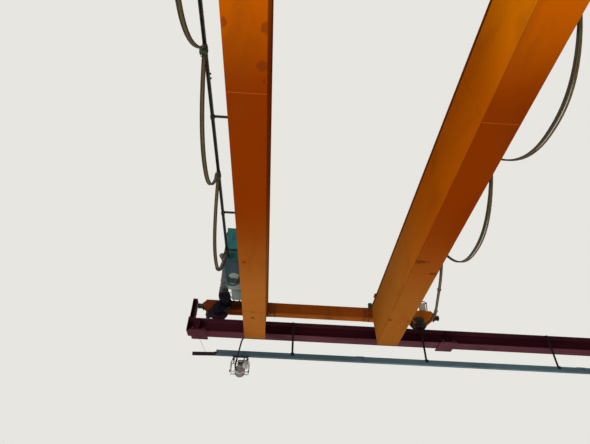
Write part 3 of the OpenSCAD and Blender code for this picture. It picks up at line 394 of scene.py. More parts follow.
matt = {"gloss": 0.65, "shine": 0.0}
cable = {"shine": 0.08, "toneScale": 1.7, "grimeScale": 8.0, "dust": 0.2}
paints = {
    "craneOrange": recipe(
        (0.43, 0.09, 0.0005), (0.4, 0.08, 0.0005), (0.16, 0.04, 0.004), (0.14, 0.06, 0.03), gloss=0.7, shine=0.0,
        toneScale=0.45, grimeCover=0.38, grimeDepth=0.35, stretch=(1, 0.35, 0.6),
        extras=(paintedGirderLight, darkSpotsBy(girderLightAndSpots))),
    # Painted shade: a darker copy of the orange for the carriages, whose undersides get painted light
    "carriageShadedOrange": recipe(
        (0.33, 0.074, 0.008), (0.28, 0.06, 0.007), (0.12, 0.034, 0.01), toneScale=1.4,
        extras=(liftedBy((1.25, 1.6, 2.2)),), **matt),
    # Painted light: a lighter copy of the carriage orange for the right carriage ends
    "noseLitOrange": recipe((0.52, 0.13, 0.006), (0.44, 0.1, 0.005), (0.16, 0.045, 0.01), toneScale=2.2, **matt),
    # Painted shade: a darker copy of the carriage orange for the left carriage ends beside the drives
    "noseShadedOrange": recipe(
        (0.2, 0.036, 0.006), (0.12, 0.022, 0.006), (0.05, 0.014, 0.006), toneScale=3.2, grimeCover=0.6,
        extras=(darkSpotsBy(noseShadeSpots),), **matt),
    # Painted shade: a darker red copy of the orange for the gussets
    "gussetShadedOrange": recipe((0.26, 0.038, 0.004), (0.2, 0.03, 0.004), (0.1, 0.022, 0.006), toneScale=3.0, **matt),
    "weldOrange": recipe((0.36, 0.072, 0.006), (0.33, 0.064, 0.006), (0.2, 0.04, 0.006), toneScale=3.0, **matt),
    # Painted shade: a dark orange for the seams along the girders' webs
    "seamShadeOrange": recipe(
        (0.09, 0.019, 0.001), (0.07, 0.015, 0.001), (0.04, 0.01, 0.002), gloss=0.7, shine=0.0, toneScale=3.0),
    "runwayMaroon": recipe(
        (0.034, 0.0048, 0.009), (0.043, 0.007, 0.012), (0.018, 0.005, 0.008), (0.09, 0.036, 0.032), gloss=0.7,
        shine=0.03, toneScale=1.6, stretch=(0.3, 1, 1), extras=(liftedBy((1.75, 2.8, 2.3)),)),
    "conductorGrey": recipe(
        (0.046, 0.072, 0.082), (0.066, 0.108, 0.122), (0.03, 0.042, 0.046), (0.16, 0.18, 0.18), gloss=0.55, shine=0.15,
        stretch=(0.3, 1, 1), extras=(fadeRail,)),
    "darkSteel": recipe(
        (0.014, 0.012, 0.009), (0.02, 0.016, 0.011), (0.036, 0.024, 0.016), (0.15, 0.14, 0.13), gloss=0.52,
        grimeCover=0.35),
    "driveBlack": recipe(
        (0.0035, 0.004, 0.0075), (0.006, 0.0055, 0.009), (0.01, 0.0075, 0.0075), (0.07, 0.065, 0.06), gloss=0.55,
        shine=0.05, grimeScale=9.0, wear=0.35),
    "guardPurple": recipe(
        (0.009, 0.0036, 0.008), (0.013, 0.005, 0.009), (0.02, 0.01, 0.01), (0.1, 0.09, 0.08), gloss=0.55, shine=0.05,
        wear=0.4),
    "hangerDark": recipe(
        (0.014, 0.01, 0.014), (0.018, 0.012, 0.016), (0.012, 0.009, 0.01), (0.05, 0.045, 0.045), gloss=0.6, shine=0.03,
        dust=0.2),
    "collectorGrey": recipe(
        (0.105, 0.115, 0.105), (0.15, 0.16, 0.148), (0.05, 0.052, 0.048), (0.25, 0.25, 0.24), toneScale=14.0),
    "cabinetTeal": recipe(
        (0.019, 0.142, 0.138), (0.0215, 0.122, 0.124), (0.016, 0.064, 0.07), (0.1, 0.16, 0.15), gloss=0.55, shine=0.1,
        toneScale=2.5),
    "boxGreyGreen": recipe(
        (0.115, 0.155, 0.146), (0.13, 0.168, 0.155), (0.06, 0.07, 0.065), (0.24, 0.25, 0.23), toneScale=2.5),
    "carrierGreen": recipe(
        (0.014, 0.034, 0.018), (0.022, 0.046, 0.022), (0.03, 0.028, 0.02), (0.07, 0.09, 0.06), toneScale=6.0),
    "blockYellow": recipe(
        (0.62, 0.36, 0.02), (0.52, 0.28, 0.02), (0.1, 0.07, 0.03), (0.22, 0.2, 0.18), gloss=0.4, toneScale=3.0,
        wear=0.9),
    "hookRed": recipe(
        (0.3, 0.035, 0.022), (0.22, 0.03, 0.02), (0.06, 0.03, 0.02), (0.25, 0.23, 0.21), gloss=0.4, toneScale=6.0,
        wear=0.9),
    "railSteel": recipe(
        (0.115, 0.08, 0.062), (0.16, 0.1, 0.07), (0.05, 0.035, 0.028), (0.45, 0.43, 0.41), gloss=0.42, metal=0.6,
        wear=1.0, edge=0.006, dust=0.1, stretch=(0.3, 0.3, 1)),
    "drumSteel": recipe(
        (0.13, 0.13, 0.14), (0.2, 0.19, 0.18), (0.045, 0.038, 0.028), (0.42, 0.41, 0.4), gloss=0.34, metal=0.75,
        wear=0.9),
    "galvanised": recipe(
        (0.33, 0.34, 0.34), (0.44, 0.44, 0.43), (0.14, 0.13, 0.12), (0.5, 0.5, 0.49), gloss=0.38, metal=0.55,
        toneScale=22.0),
    "collectorPink": recipe(
        (0.175, 0.128, 0.112), (0.14, 0.115, 0.104), (0.1, 0.08, 0.07), (0.4, 0.36, 0.33), gloss=0.45, toneScale=9.0),
    "switchBeige": recipe((0.56, 0.47, 0.35), (0.48, 0.41, 0.31), (0.15, 0.12, 0.09), (0.4, 0.37, 0.33), toneScale=9.0),
    "cabinetPale": recipe(
        (0.165, 0.215, 0.19), (0.14, 0.185, 0.165), (0.07, 0.09, 0.08), (0.26, 0.28, 0.26), toneScale=4.0),
    "cabinetShade": recipe(
        (0.004, 0.022, 0.036), (0.004, 0.029, 0.036), (0.02, 0.03, 0.03), (0.08, 0.1, 0.1), toneScale=4.0),
    "blackRubber": recipe(
        (0.009, 0.009, 0.01), (0.014, 0.014, 0.015), (0.03, 0.026, 0.022), (0.05, 0.05, 0.05), gloss=0.62,
        toneScale=9.0),
    "cableOlive": recipe((0.074, 0.054, 0.02), (0.092, 0.068, 0.028), (0.05, 0.036, 0.02), (0.18, 0.15, 0.11), **cable),
    "cableLight": recipe(
        (0.112, 0.084, 0.034), (0.086, 0.064, 0.026), (0.06, 0.045, 0.028), (0.26, 0.22, 0.16), **cable),
    "cableDark": recipe((0.027, 0.021, 0.013), (0.04, 0.031, 0.019), (0.06, 0.045, 0.03), (0.1, 0.09, 0.07), **cable),
    "boltSteel": recipe(
        (0.026, 0.018, 0.014), (0.045, 0.03, 0.022), (0.06, 0.03, 0.016), (0.16, 0.15, 0.14), metal=0.2, toneScale=14.0,
        grimeScale=30.0),
    "sleeveGrey": recipe(
        (0.105, 0.08, 0.082), (0.075, 0.06, 0.064), (0.04, 0.03, 0.03), (0.2, 0.18, 0.18), gloss=0.62, toneScale=5.0,
        grain=420.0, relief=0.5),
}
finishes = {name: makePaint(name, paint) for name, paint in paints.items()}

# The first finish of each slot is the one of its CAD nodes, and the others are for added pieces
slotFinishes = {
    "runway_maroon": ["runwayMaroon"], "rail_steel": ["railSteel"], "conductor_grey": ["conductorGrey"],
    "dark_steel": ["darkSteel", "boltSteel", "guardPurple", "hangerDark", "collectorGrey"],
    "crane_orange": ["craneOrange", "seamShadeOrange", "weldOrange", "gussetShadedOrange"], "black_rubber": ["blackRubber"],
    "drive_black": ["driveBlack"], "carrier_green": ["carrierGreen"], "sleeve_grey": ["sleeveGrey"],
    "cable_olive": ["cableOlive", "cableLight", "cableDark"], "box_grey_green": ["boxGreyGreen", "switchBeige"],
    "cabinet_teal": ["cabinetTeal", "cabinetShade", "cabinetPale"], "collector_metal": ["galvanised", "collectorPink"],
    "drum_steel": ["drumSteel"], "rope_steel": ["drumSteel"], "block_yellow": ["blockYellow"], "hook_red": ["hookRed"],
}
slotOf = {finish: slot for slot, group in slotFinishes.items() for finish in group}
# Carriage ends and faces take lighter and darker copies of the orange as painted light and shade
nodeFinish = {"carriage_left": "noseShadedOrange", "carriage_right": "noseLitOrange", "carriage": "carriageShadedOrange",
              "splice": "carriageShadedOrange", "hanger": "hangerDark"}


def dressNodes():
    for row in frame["record"]["subparts"]:
        piece = nodes[row["node"]]
        own = [finish for part, finish in nodeFinish.items() if part in row["node"]]
        piece.data.materials.clear()
        piece.data.materials.append(finishes[own[0] if own else slotFinishes[row["material_slot"]][0]])


dressNodes()
print("CAD nodes painted")


# Modelling helpers. Every new piece starts from a primitive, is shaped and bevelled, and has its place in its mesh
modelling = {"segments": 2, "edgeAngle": 30, "rodAngle": 50, "smoothAngle": 35, "cableAngle": 50, "facing": 0.9,
             "panelShare": 0.6, "stepShare": 0.5, "bevelShare": 0.3}


def setMode(mode):
    bpy.ops.object.mode_set(mode=mode)


def clearSelection():
    if bpy.context.object and bpy.context.object.mode != "OBJECT":
        setMode("OBJECT")
    bpy.ops.object.select_all(action="DESELECT")


def takeOnly(*parts):
    clearSelection()
    for part in parts:
        part.select_set(True)
    bpy.context.view_layer.objects.active = parts[0]


def bevelEdges(part, width, angle=modelling["edgeAngle"]):
    takeOnly(part)
    soft = part.modifiers.new("softEdges", "BEVEL")
    soft.width, soft.segments, soft.limit_method = width, modelling["segments"], "ANGLE"
    soft.angle_limit = math.radians(angle)
    bpy.ops.object.modifier_apply(modifier=soft.name)
    return part


def addBlock(low, high, bevel):
    clearSelection()
    size = Vector(high) - Vector(low)
    bpy.ops.mesh.primitive_cube_add(size=1, location=(Vector(high) + Vector(low)) / 2)
    part = bpy.context.object
    part.scale = size
    bpy.ops.object.transform_apply()
    return bevelEdges(part, min(bevel, min(size) * modelling["bevelShare"]))


def addRod(start, end, radius, sides=24, bevel=0.0, endRadius=None):
    clearSelection()
    start, end = Vector(start), Vector(end)
    bpy.ops.mesh.primitive_cone_add(vertices=sides, radius1=radius, radius2=radius if endRadius is None else endRadius,
                                    depth=(end - start).length, location=(start + end) / 2,
                                    rotation=(end - start).to_track_quat("Z", "Y").to_euler())
    part = bpy.context.object
    bpy.ops.object.transform_apply()
    return bevelEdges(part, bevel, modelling["rodAngle"]) if bevel else part


# A point from its two other coordinates and the one along an axis, and a rod along that axis
def atDepth(axis, flat, depth):
    point = list(flat)
    point.insert("xyz".index(axis), depth)
    return tuple(point)


def addPin(axis, flat, span, *shape):
    return addRod(atDepth(axis, flat, span[0]), atDepth(axis, flat, span[1]), *shape)


def addRing(centre, axis, radius, thickness, sides=40, inner=8):
    clearSelection()
    bpy.ops.mesh.primitive_torus_add(major_segments=sides, minor_segments=inner, major_radius=radius,
                                     minor_radius=thickness, location=centre,
                                     rotation=Vector(axis).to_track_quat("Z", "Y").to_euler())
    bpy.ops.object.transform_apply()
    return bpy.context.object


def linkMesh(name, mesh):
    data = bpy.data.meshes.new(name)
    mesh.to_mesh(data)
    mesh.free()
    part = bpy.data.objects.new(name, data)
    bpy.context.scene.collection.objects.link(part)
    takeOnly(part)
    return part


def fixNormals(part):
    takeOnly(part)
    setMode("EDIT")
    bpy.ops.mesh.select_all(action="SELECT")
    bpy.ops.mesh.normals_make_consistent(inside=False)
    setMode("OBJECT")


# Flat plate across the span's direction: its outline in x and z becomes one face, which is then drawn out
def addPlate(outline, front, back, bevel):
    shape = bmesh.new()
    shape.faces.new([shape.verts.new((x, front, z)) for x, z in outline])
    part = linkMesh("plate", shape)
    setMode("EDIT")
    bpy.ops.mesh.select_all(action="SELECT")
    bpy.ops.mesh.extrude_region_move(TRANSFORM_OT_translate={"value": (0, back - front, 0)})
    fixNormals(part)
    return bevelEdges(part, bevel)


# The large faces of one part that look along a direction are picked, then pushed in or out as panels
def pressPanel(part, direction, border, depth):
    takeOnly(part)
    setMode("EDIT")
    bpy.ops.mesh.select_mode(type="FACE")
    bpy.ops.mesh.select_all(action="DESELECT")
    setMode("OBJECT")
    faces = [face for face in part.data.polygons if face.normal.dot(Vector(direction)) > modelling["facing"]]
    biggest = max(face.area for face in faces)
    for face in faces:
        face.select = face.area > modelling["panelShare"] * biggest
    setMode("EDIT")
    bpy.ops.mesh.inset(thickness=border, depth=0)
    bpy.ops.mesh.inset(thickness=min(border, abs(depth)) * modelling["stepShare"], depth=depth)
    setMode("OBJECT")
    return part


# Lid on a face of a box: it stands out by one length and reaches in by another, and keeps margins from the face's low
# and high edges along the two other axes. With a border it has a pressed panel
def addLid(box, face, out, sunk, margins, bevel, border=0.0, press=0.0):
    side, axis = (1 if face[0] == "+" else -1), "xyz".index(face[1])
    margins = margins if isinstance(margins, tuple) else (margins,) * 4
    low, high = list(box[0]), list(box[1])
    plane = high[axis] if side > 0 else low[axis]
    for i, other in enumerate([k for k in range(3) if k != axis]):
        low[other] += margins[2 * i]
        high[other] -= margins[2 * i + 1]
    low[axis], high[axis] = sorted((plane + side * out, plane - side * sunk))
    part = addBlock(low, high, bevel)
    direction = [side if k == axis else 0 for k in range(3)]
    return pressPanel(part, direction, border, press) if border else part


def addTwin(part):
    twin = part.copy()
    twin.data = part.data.copy()
    bpy.context.scene.collection.objects.link(twin)
    return twin


def copyTo(master, places):
    made = []
    for place in places:
        made.append(addTwin(master))
        made[-1].matrix_world = place
    bpy.data.objects.remove(master, do_unlink=True)
    return made


def joinParts(parts):
    takeOnly(*parts)
    if len(parts) > 1:
        bpy.ops.object.join()
    return bpy.context.object


# Mirrored twin of a finished piece: across the span, or from the bridge's left end to its right end
mirrorPlanes = {"near": (1, -12.0), "right": (0, 4.464)}


def mirrorPiece(piece, side, name, body):
    axis, total = mirrorPlanes[side]
    clearSelection()
    twin = addTwin(piece)
    twin.name = name
    twin.data.name = name
    twin.parent = None
    twin.matrix_world = Matrix.Identity(4)
    twin.scale[axis] = -1
    twin.location[axis] = total
    takeOnly(twin)
    bpy.ops.object.transform_apply()
    fixNormals(twin)
    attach(twin, body)
    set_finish(twin, piece["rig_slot"])
    return twin


# Joins and finishes a piece. With twins it is also made on the near side, and with 4 at the right end of both sides
def finishPiece(name, parts, finish, body="bridge", slot=None, twins=0):
    piece = joinParts(parts)
    bpy.ops.object.transform_apply()
    bpy.ops.object.shade_smooth_by_angle(angle=math.radians(modelling["smoothAngle"]))
    piece.name = name
    piece.data.name = name
    piece.data.materials.clear()
    piece.data.materials.append(finishes[finish])
    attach(piece, body)
    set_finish(piece, slot or slotOf[finish])
    far = [piece] if twins else []
    if twins == 4:
        far.append(mirrorPiece(piece, "right", name.replace("Left", "Right"), body))
    for one in far:
        mirrorPiece(one, "near", one.name.replace("far", "near", 1), body)
    return piece


# Points in rows along the three axes, and on a circle at a depth along one axis
def shifted(base, offsets):
    return [base + offset for offset in offsets]


def grid(xs, ys, zs):
    return [(x, y, z) for x in xs for y in ys for z in zs]


def onCircle(centre, radius, count, start=0, step=None):
    turns = [math.radians(start + k * (step or 360 / count)) for k in range(count)]
    return [(centre[0] + radius * math.cos(a), centre[1] + radius * math.sin(a)) for a in turns]


def around(axis, depth, *circle):
    return [atDepth(axis, flat, depth) for flat in onCircle(*circle)]


def addHoop(axis, centre, depth, *shape):
    return addRing(atDepth(axis, centre, depth), atDepth(axis, (0, 0), 1), *shape)


# Fan grille: wire rings, and four wires through the centre
def addGrille(axis, centre, grille):
    ends = around(axis, grille["at"], centre, grille["reach"], 8, grille["turn"])
    rings = [addHoop(axis, centre, grille["at"], radius, grille["ringWire"], 36, 6) for radius in grille["rings"]]
    return rings + [addRod(ends[k + 4], ends[k], grille["spokeWire"], 8) for k in range(4)]


# Hex bolts on groups of points, each group with its direction, modelled once: head and washer, and a shank's end
boltShape = {
    "head": {"from": 0.12, "to": 0.82, "radius": 0.9, "bevel": 0.06},
    "washer": {"to": 0.14, "radius": 1.15},
    "shank": {"from": 0.8, "radius": 0.5, "bevel": 0.05},
}


def addBolts(size, groups, proud=0.0):
    head, washer, shank = ({key: size * share for key, share in boltShape[part].items()}
                           for part in ("head", "washer", "shank"))
    parts = [addPin("z", (0, 0), (head["from"], head["to"]), head["radius"], 6, head["bevel"]),
             addPin("z", (0, 0), (0, washer["to"]), washer["radius"], 16)]
    if proud:
        parts.append(addPin("z", (0, 0), (shank["from"], shank["from"] + proud), shank["radius"], 12, shank["bevel"]))
    places = []
    for points, direction in groups:
        turn = Vector(direction).to_track_quat("Z", "Y").to_matrix().to_4x4()
        places += [Matrix.Translation(point) @ turn for point in points]
    return copyTo(joinParts(parts), places)


# A cable is a section lofted along the points it follows, its flat side square to the sag
def roundedSection(sides):
    turns = [2 * math.pi * (k + 0.5) / sides for k in range(sides)]
    return [(math.cos(a), math.sin(a)) for a in turns]


def loftCable(name, points, half, finish):
    path, sides = [Vector(p) for p in points], half.get("sides", 10)
    across, last = Vector((1, 0, 0)), len(path) - 1
    mesh = bmesh.new()
    lengthLayer = mesh.loops.layers.uv.new("alongCable")
    rings, travelled = [], [0.0]
    for i in range(last + 1):
        heading = (path[min(i + 1, last)] - path[max(i - 1, 0)]).normalized()
        side = (across - heading * across.dot(heading)).normalized()
        up = side.cross(heading)
        grow = half["grow"][i] if "grow" in half else 1.0
        rings.append([mesh.verts.new(path[i] + side * half["wide"] * grow * x + up * half["thick"] * grow * z)
                      for x, z in roundedSection(sides)])
        if i:
            travelled.append(travelled[-1] + (path[i] - path[i - 1]).length)
    for i in range(last):
        for k in range(sides):
            j = (k + 1) % sides
            face = mesh.faces.new((rings[i][k], rings[i][j], rings[i + 1][j], rings[i + 1][k]))
            for loop, (u, v) in zip(face.loops, ((k, i), (k + 1, i), (k + 1, i + 1), (k, i + 1))):
                loop[lengthLayer].uv = (u / sides, travelled[v])
    mesh.faces.new(list(reversed(rings[0])))
    mesh.faces.new(rings[last])
    bmesh.ops.recalc_face_normals(mesh, faces=mesh.faces[:])
    piece = linkMesh(name, mesh)
    bpy.ops.object.shade_smooth_by_angle(angle=math.radians(modelling["cableAngle"]))
    piece.data.materials.append(finishes[finish])
    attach(piece, "bridge")
    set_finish(piece, slotOf[finish])
    return piece, travelled[-1]


def smoothPath(points, steps):
    path, last = [], len(points) - 1
    for i in range(last):
        a, b, c, d = (Vector(points[min(max(i + k, 0), last)]) for k in (-1, 0, 1, 2))
        for f in (step / steps for step in range(steps)):
            path.append(0.5 * (2 * b + (c - a) * f + (2 * a - 5 * b + 4 * c - d) * f * f
                               + (3 * b - a - 3 * c + d) * f * f * f))
    return path + [Vector(points[-1])]


def layCord(name, points, diameter, finish, half=None):
    half = half or {"wide": diameter / 2, "thick": diameter / 2}
    piece, length = loftCable(name, points, half, finish)
    return piece


def acrossSpan(points):
    return [(x, mirrorPlanes["near"][1] - y, z) for x, y, z in points]


# Girders: seams between webs and flanges, painted dark as painted shade, and butt welds across the bottom flanges and
# the webs
girder = {
    "centres": (1.048, 3.416),
    "webOut": 0.172,
    "halfFlange": 0.184,
    "span": (-11.72, -0.28),
    "web": (-0.1327, 0.6863),
    "under": -0.1447,
    "fillet": 0.011,
    "butt": 0.0045,
    "webButt": 0.0027,
    "seams": ((1.048, -5.27), (1.048, -1.234), (3.416, -5.12), (3.416, -2.56), (1.048, -8.9), (3.416, -8.6)),
}


def makeGirderWelds():
    g = girder
    sides = (-g["webOut"], g["webOut"])
    fillets = [addPin("y", (x + side, z), g["span"], g["fillet"], 8)
               for x in g["centres"] for side in sides for z in g["web"]]
    # The seams are painted dark orange as painted shade
    finishPiece("girderSeams", fillets, "seamShadeOrange")
    butts = []
    for x, y in g["seams"]:
        butts.append(addPin("x", (y, g["under"]), (x - g["halfFlange"], x + g["halfFlange"]), g["butt"], 8))
        butts += [addPin("z", (x + side, y), g["web"], g["webButt"], 6) for side in sides]
    finishPiece("girderWelds", butts, "weldOrange")


# End carriages: splice and bearing bolts, axle caps, rail sweeps, guards at the left wheels, welds, and on the right
# girder's end a gusset with its tab and a lug
carriage = {
    "bottom": 0.4753,
    "top": 0.6863,
    "axle": (0.31, 0.4353),
    "axleCap": {"span": (0.1225, 0.13), "radius": 0.047},
    "splice": {"x": 1.325, "bolt": 0.012, "face": 0.093, "plate": 0.008, "alongSide": (-0.05, -0.02, 0.02, 0.05),
               "rows": (0.508, 0.5565, 0.605, 0.6535), "alongTop": (-0.045, 0.045), "acrossTop": (-0.048, 0, 0.048)},
    "bearing": {"bolt": 0.0096, "face": 0.105, "along": (-0.056, 0.056), "rows": (-0.09, -0.03, 0.03, 0.076),
                "capFace": 0.123, "capCircle": 0.036},
    "sweep": (((0.126, -0.055, 0.322), (0.142, 0.055, 0.452)), ((0.076, -0.04, 0.44), (0.142, 0.04, 0.456)),
              ((0.071, -0.052, 0.36), (0.142, -0.04, 0.47)), ((0.071, 0.04, 0.36), (0.142, 0.052, 0.47))),
    "keeper": {"y": 0.088, "z": 0.515, "span": (0.15, 0.48), "radius": 0.004},
    "guard": ((0.118, 0.28), (0.118, 0.438), (0.188, 0.492), (0.262, 0.56), (0.372, 0.56), (0.452, 0.47),
              (0.452, 0.28)),
    "guardDepths": (-0.137, -0.126),
    "girderEdges": (0.876, 1.22),
    "bead": {"side": 0.086, "radius": 0.006, "frontY": -0.087, "front": (0.863, 1.233)},
    "seam": {"side": 0.0845, "radius": 0.0035, "along": (0.5, 1.31)},
    "gusset": ((3.17, 0.524), (3.178, 0.64), (3.2, 0.68), (3.252, 0.6863), (3.252, 0.4753), (3.2, 0.4753)),
    "gussetDepths": (-0.102, -0.09),
    "tab": ((3.194, -0.64, 0.674), (3.238, -0.5, 0.6855)),
    "lug": ((3.186, -0.082, 0.7), (3.262, -0.034, 0.8)),
    "lugHub": {"place": (3.21, 0.75), "span": (-0.09, -0.026), "radius": 0.024},
}


def makeCarriageFittings():
    c, s, b = carriage, carriage["splice"], carriage["bearing"]
    (axleX, axleZ), height = c["axle"], (c["bottom"], c["top"])
    groups = [(grid(shifted(s["x"], s["alongSide"]), [side * s["face"]], s["rows"]), (0, side, 0)) for side in (-1, 1)]
    over = shifted(s["x"], s["alongTop"])
    groups += [(grid(over, s["acrossTop"], [c["top"] + s["plate"]]), (0, 0, 1)),
               (grid(over, s["acrossTop"], [c["bottom"] - s["plate"]]), (0, 0, -1))]
    finishPiece("farSpliceBoltsLeft", addBolts(s["bolt"], groups), "boltSteel", twins=4)
    groups = [(grid(shifted(axleX, b["along"]), [side * b["face"]], shifted(axleZ, b["rows"])), (0, side, 0))
              for side in (-1, 1)]
    groups.append((around("y", b["capFace"], c["axle"], b["capCircle"], 3, 90), (0, 1, 0)))
    finishPiece("farBearingBoltsLeft", addBolts(b["bolt"], groups), "boltSteel", twins=4)
    cap, k = c["axleCap"], c["keeper"]
    parts = [addPin("y", c["axle"], cap["span"], cap["radius"], 32, 0.002)]
    parts += [addBlock(low, high, 0.002) for low, high in c["sweep"]]
    parts += [addPin("x", (y, k["z"]), k["span"], k["radius"], 8) for y in (-k["y"], k["y"])]
    finishPiece("farRailSweepLeft", parts, "darkSteel", twins=2)
    finishPiece("farGuardLeft", [addPlate(c["guard"], *c["guardDepths"], 0.002)], "guardPurple", twins=2)
    bead, seam = c["bead"], c["seam"]
    beads = [addPin("z", (x, y), height, bead["radius"], 8)
             for x in c["girderEdges"] for y in (-bead["side"], bead["side"])]
    beads.append(addPin("x", (bead["frontY"], c["bottom"]), bead["front"], bead["radius"], 8))
    beads += [addPin("x", (y, z), seam["along"], seam["radius"], 6)
              for z in height for y in (-seam["side"], seam["side"])]
    finishPiece("farCarriageWeldsLeft", beads, "craneOrange", twins=4)
    # The gusset is painted a darker red as painted shade
    gusset = [addPlate(c["gusset"], *c["gussetDepths"], 0.002), addBlock(*c["tab"], 0.003)]
    finishPiece("farGusset", gusset, "gussetShadedOrange", twins=2)
    hub = c["lugHub"]
    lug = [addBlock(*c["lug"], 0.006), addPin("y", hub["place"], hub["span"], hub["radius"], 24, 0.003)]
    finishPiece("farLug", lug, "carrierGreen", slot="dark_steel", twins=2)


# Drives of the left wheels: bolted covers, the fan cowl's grille, a lifting eye, the terminal box's lids and its glands
drive = {
    "axle": (0.31, 0.4353),
    "motor": (0.44, 0.5453),
    "face": -0.258,
    "grille": {"at": -0.509, "rings": (0.03, 0.052, 0.074), "reach": 0.08, "turn": 10, "ringWire": 0.0022,
               "spokeWire": 0.0024},
    "bolt": 0.0085,
    "casing": ((0.224, -0.206, 0.36), (0.34, -0.19, 0.5)),
    "eye": (0.47, -0.388, 0.6633),
    "box": ((0.305, -0.368, 0.6253), (0.455, -0.238, 0.8003)),
    "sleeve": (0.378, 0.7223),
    "collar": (-0.366, -0.39),
    "glands": (((0.46, -0.3, 0.672), (0.489, -0.3, 0.668), 0.018),
               ((0.46, -0.335, 0.73), (0.485, -0.335, 0.726), 0.013)),
}


def makeDriveFittings():
    d = drive
    axle, motor, face, box = d["axle"], d["motor"], d["face"], d["box"]
    parts = [addPin("y", axle, (face, face - 0.01), 0.058, 40, 0.002),
             addPin("y", axle, (face - 0.009, face - 0.024), 0.03, 32, 0.004),
             addPin("y", motor, (face + 0.03, face - 0.012), 0.117, 48, 0.003), addBlock(*d["casing"], 0.003)]
    spots = (around("y", face, axle, 0.086, 8, 118, 27) + around("y", face - 0.012, motor, 0.108, 7, -62, 27)
             + around("y", face - 0.01, axle, 0.046, 6))
    parts += addBolts(d["bolt"], [(spots, (0, -1, 0))]) + addGrille("y", motor, d["grille"])
    parts += [addRing(d["eye"], (0, 1, 0), 0.016, 0.005, 24, 8),
              addLid(box, "+x", 0.01, 0.001, 0.006, 0.003, 0.012, 0.003),
              addLid(box, "+z", 0.004, 0.012, -0.004, 0.003, 0.014, 0.003),
              addPin("y", d["sleeve"], d["collar"], 0.072, 8, 0.003)]
    parts += [addRod(start, end, radius, 6, 0.002) for start, end, radius in d["glands"]]
    finishPiece("farDriveFittings", parts, "driveBlack", twins=2)


# Right carriage ends: flat stays beside the wheel, and the limit switch's lid, lever and screws
rightEnd = {
    "axle": (4.154, 0.4353),
    "stays": (((4.022, -0.1, 0.535), (4.1, -0.112, 0.405)), ((3.984, -0.1, 0.48), (4.04, -0.14, 0.285))),
    "switch": ((4.204, -0.085, 0.6863), (4.314, -0.025, 0.8513)),
    "middle": -0.055,
    "lever": (-0.06, -0.05),
    "roller": (-0.07, -0.04),
    "cap": (-0.1245, -0.2105),
    "capBolts": (-0.21, -0.2135),
}


def makeRightEndFittings():
    r = rightEnd
    axle, box, middle, lever = r["axle"], r["switch"], r["middle"], r["lever"]
    (x0, y0, z0), (x1, _, z1) = box
    stays = [addRod(start, end, 0.015, 4, 0.002) for start, end in r["stays"]]
    stays += [addPin("y", (x, z), (y + 0.018, y - 0.024), 0.012, 6, 0.001)
              for stay in r["stays"] for x, y, z in stay]
    finishPiece("farWheelStays", stays, "darkSteel", twins=2)
    parts = [addLid(box, "-y", 0.008, 0.002, (0.004, 0.004, 0.01, 0.006), 0.003, 0.01, 0.002),
             addPin("z", (x1 - 0.02, middle), (z1 - 0.002, z1 + 0.018), 0.016, 20, 0.002),
             addBlock((x1 - 0.032, lever[0], z1 + 0.016), (x1 + 0.05, lever[1], z1 + 0.026), 0.003),
             addPin("y", (x1 + 0.04, z1 + 0.021), r["roller"], 0.016, 20, 0.003),
             addPin("z", (x0 + 0.03, middle), (z1 - 0.002, z1 + 0.016), 0.011, 6, 0.001)]
    parts += [addPin("y", (x, z), (y0 - 0.006, y0 - 0.011), 0.005, 10, 0.001)
              for x in (x0 + 0.016, x1 - 0.016) for z in (z0 + 0.024, z1 - 0.02)]
    parts += [addLid(box, face, 0.003, 0.001, (0.002, 0.002, 0.006, 0.002), 0.001) for face in ("-x", "+x")]
    parts.append(addLid(box, "+z", 0.004, 0.01, -0.003, 0.002))
    finishPiece("farSwitchFittings", parts, "switchBeige", twins=2)
    cap = [addPin("y", axle, r["cap"], 0.047, 32, 0.003)]
    cap += [addPin("y", flat, r["capBolts"], 0.005, 6) for flat in onCircle(axle, 0.034, 3, 90)]
    finishPiece("farEncoderCap", cap, "darkSteel", slot="box_grey_green", twins=2)


# Buffers: mounting plates' bolts and the moulded rings of the rubber
buffer = {"axis": (0, 0.585), "rings": (-0.0252, -0.0868), "radius": 0.049, "bolts": ((-0.048, 0.048), (0.537, 0.633))}


def makeBufferFittings():
    b = buffer
    parts = [addHoop("x", b["axis"], x, b["radius"], 0.0035, 40, 8) for x in b["rings"]]
    parts.append(addPin("x", b["axis"], (-0.099, -0.1015), 0.016, 20, 0.001))
    finishPiece("farBufferRingsLeft", parts, "blackRubber", twins=4)
    bolts = addBolts(0.009, [(grid([-0.0005], *b["bolts"]), (1, 0, 0))])
    finishPiece("farBufferBoltsLeft", bolts, "boltSteel", twins=4)


# Festoon: four cables lie over each carrier's saddle and sag between two carriers. A hose and a clamp are at its end
festoon = {
    "trackX": 0.655,
    "trackZ": 0.1503,
    "carriers": (-2.43, -3.97, -5.51, -7.05, -8.59, -10.13),
    "saddleZ": 0.0883,
    "saddleRadius": 0.0333,
    "sag": 0.64,
    "power": 2.3,
    "leans": (0.008, 0.034, 0.01, 0.018, 0.012),
    "stagger": 0.0015,
    "strands": (
        {"x": -0.0132, "wide": 0.006, "thick": 0.0075, "sag": 0.004, "finish": "cableDark"},
        {"x": -0.0036, "wide": 0.0072, "thick": 0.0078, "sag": -0.002, "finish": "cableLight"},
        {"x": 0.0062, "wide": 0.0066, "thick": 0.0072, "sag": 0.002, "finish": "cableOlive"},
        {"x": 0.0146, "wide": 0.0062, "thick": 0.0085, "sag": -0.004, "finish": "cableDark"},
    ),
    "hose": {"from": 11, "to": 20, "wide": 0.0265, "thick": 0.021},
    "clamp": ((0.619, -2.474, 0.046), (0.689, -2.386, 0.128)),
    "arms": (-2.441, -3.257, -4.755, -6.255, -7.755, -9.255, -10.755),
    "web": 0.876,
    "stops": ((-2.404, -2.394), (-11.408, -11.396)),
    "jointBolts": (-5.248, -5.2),
}


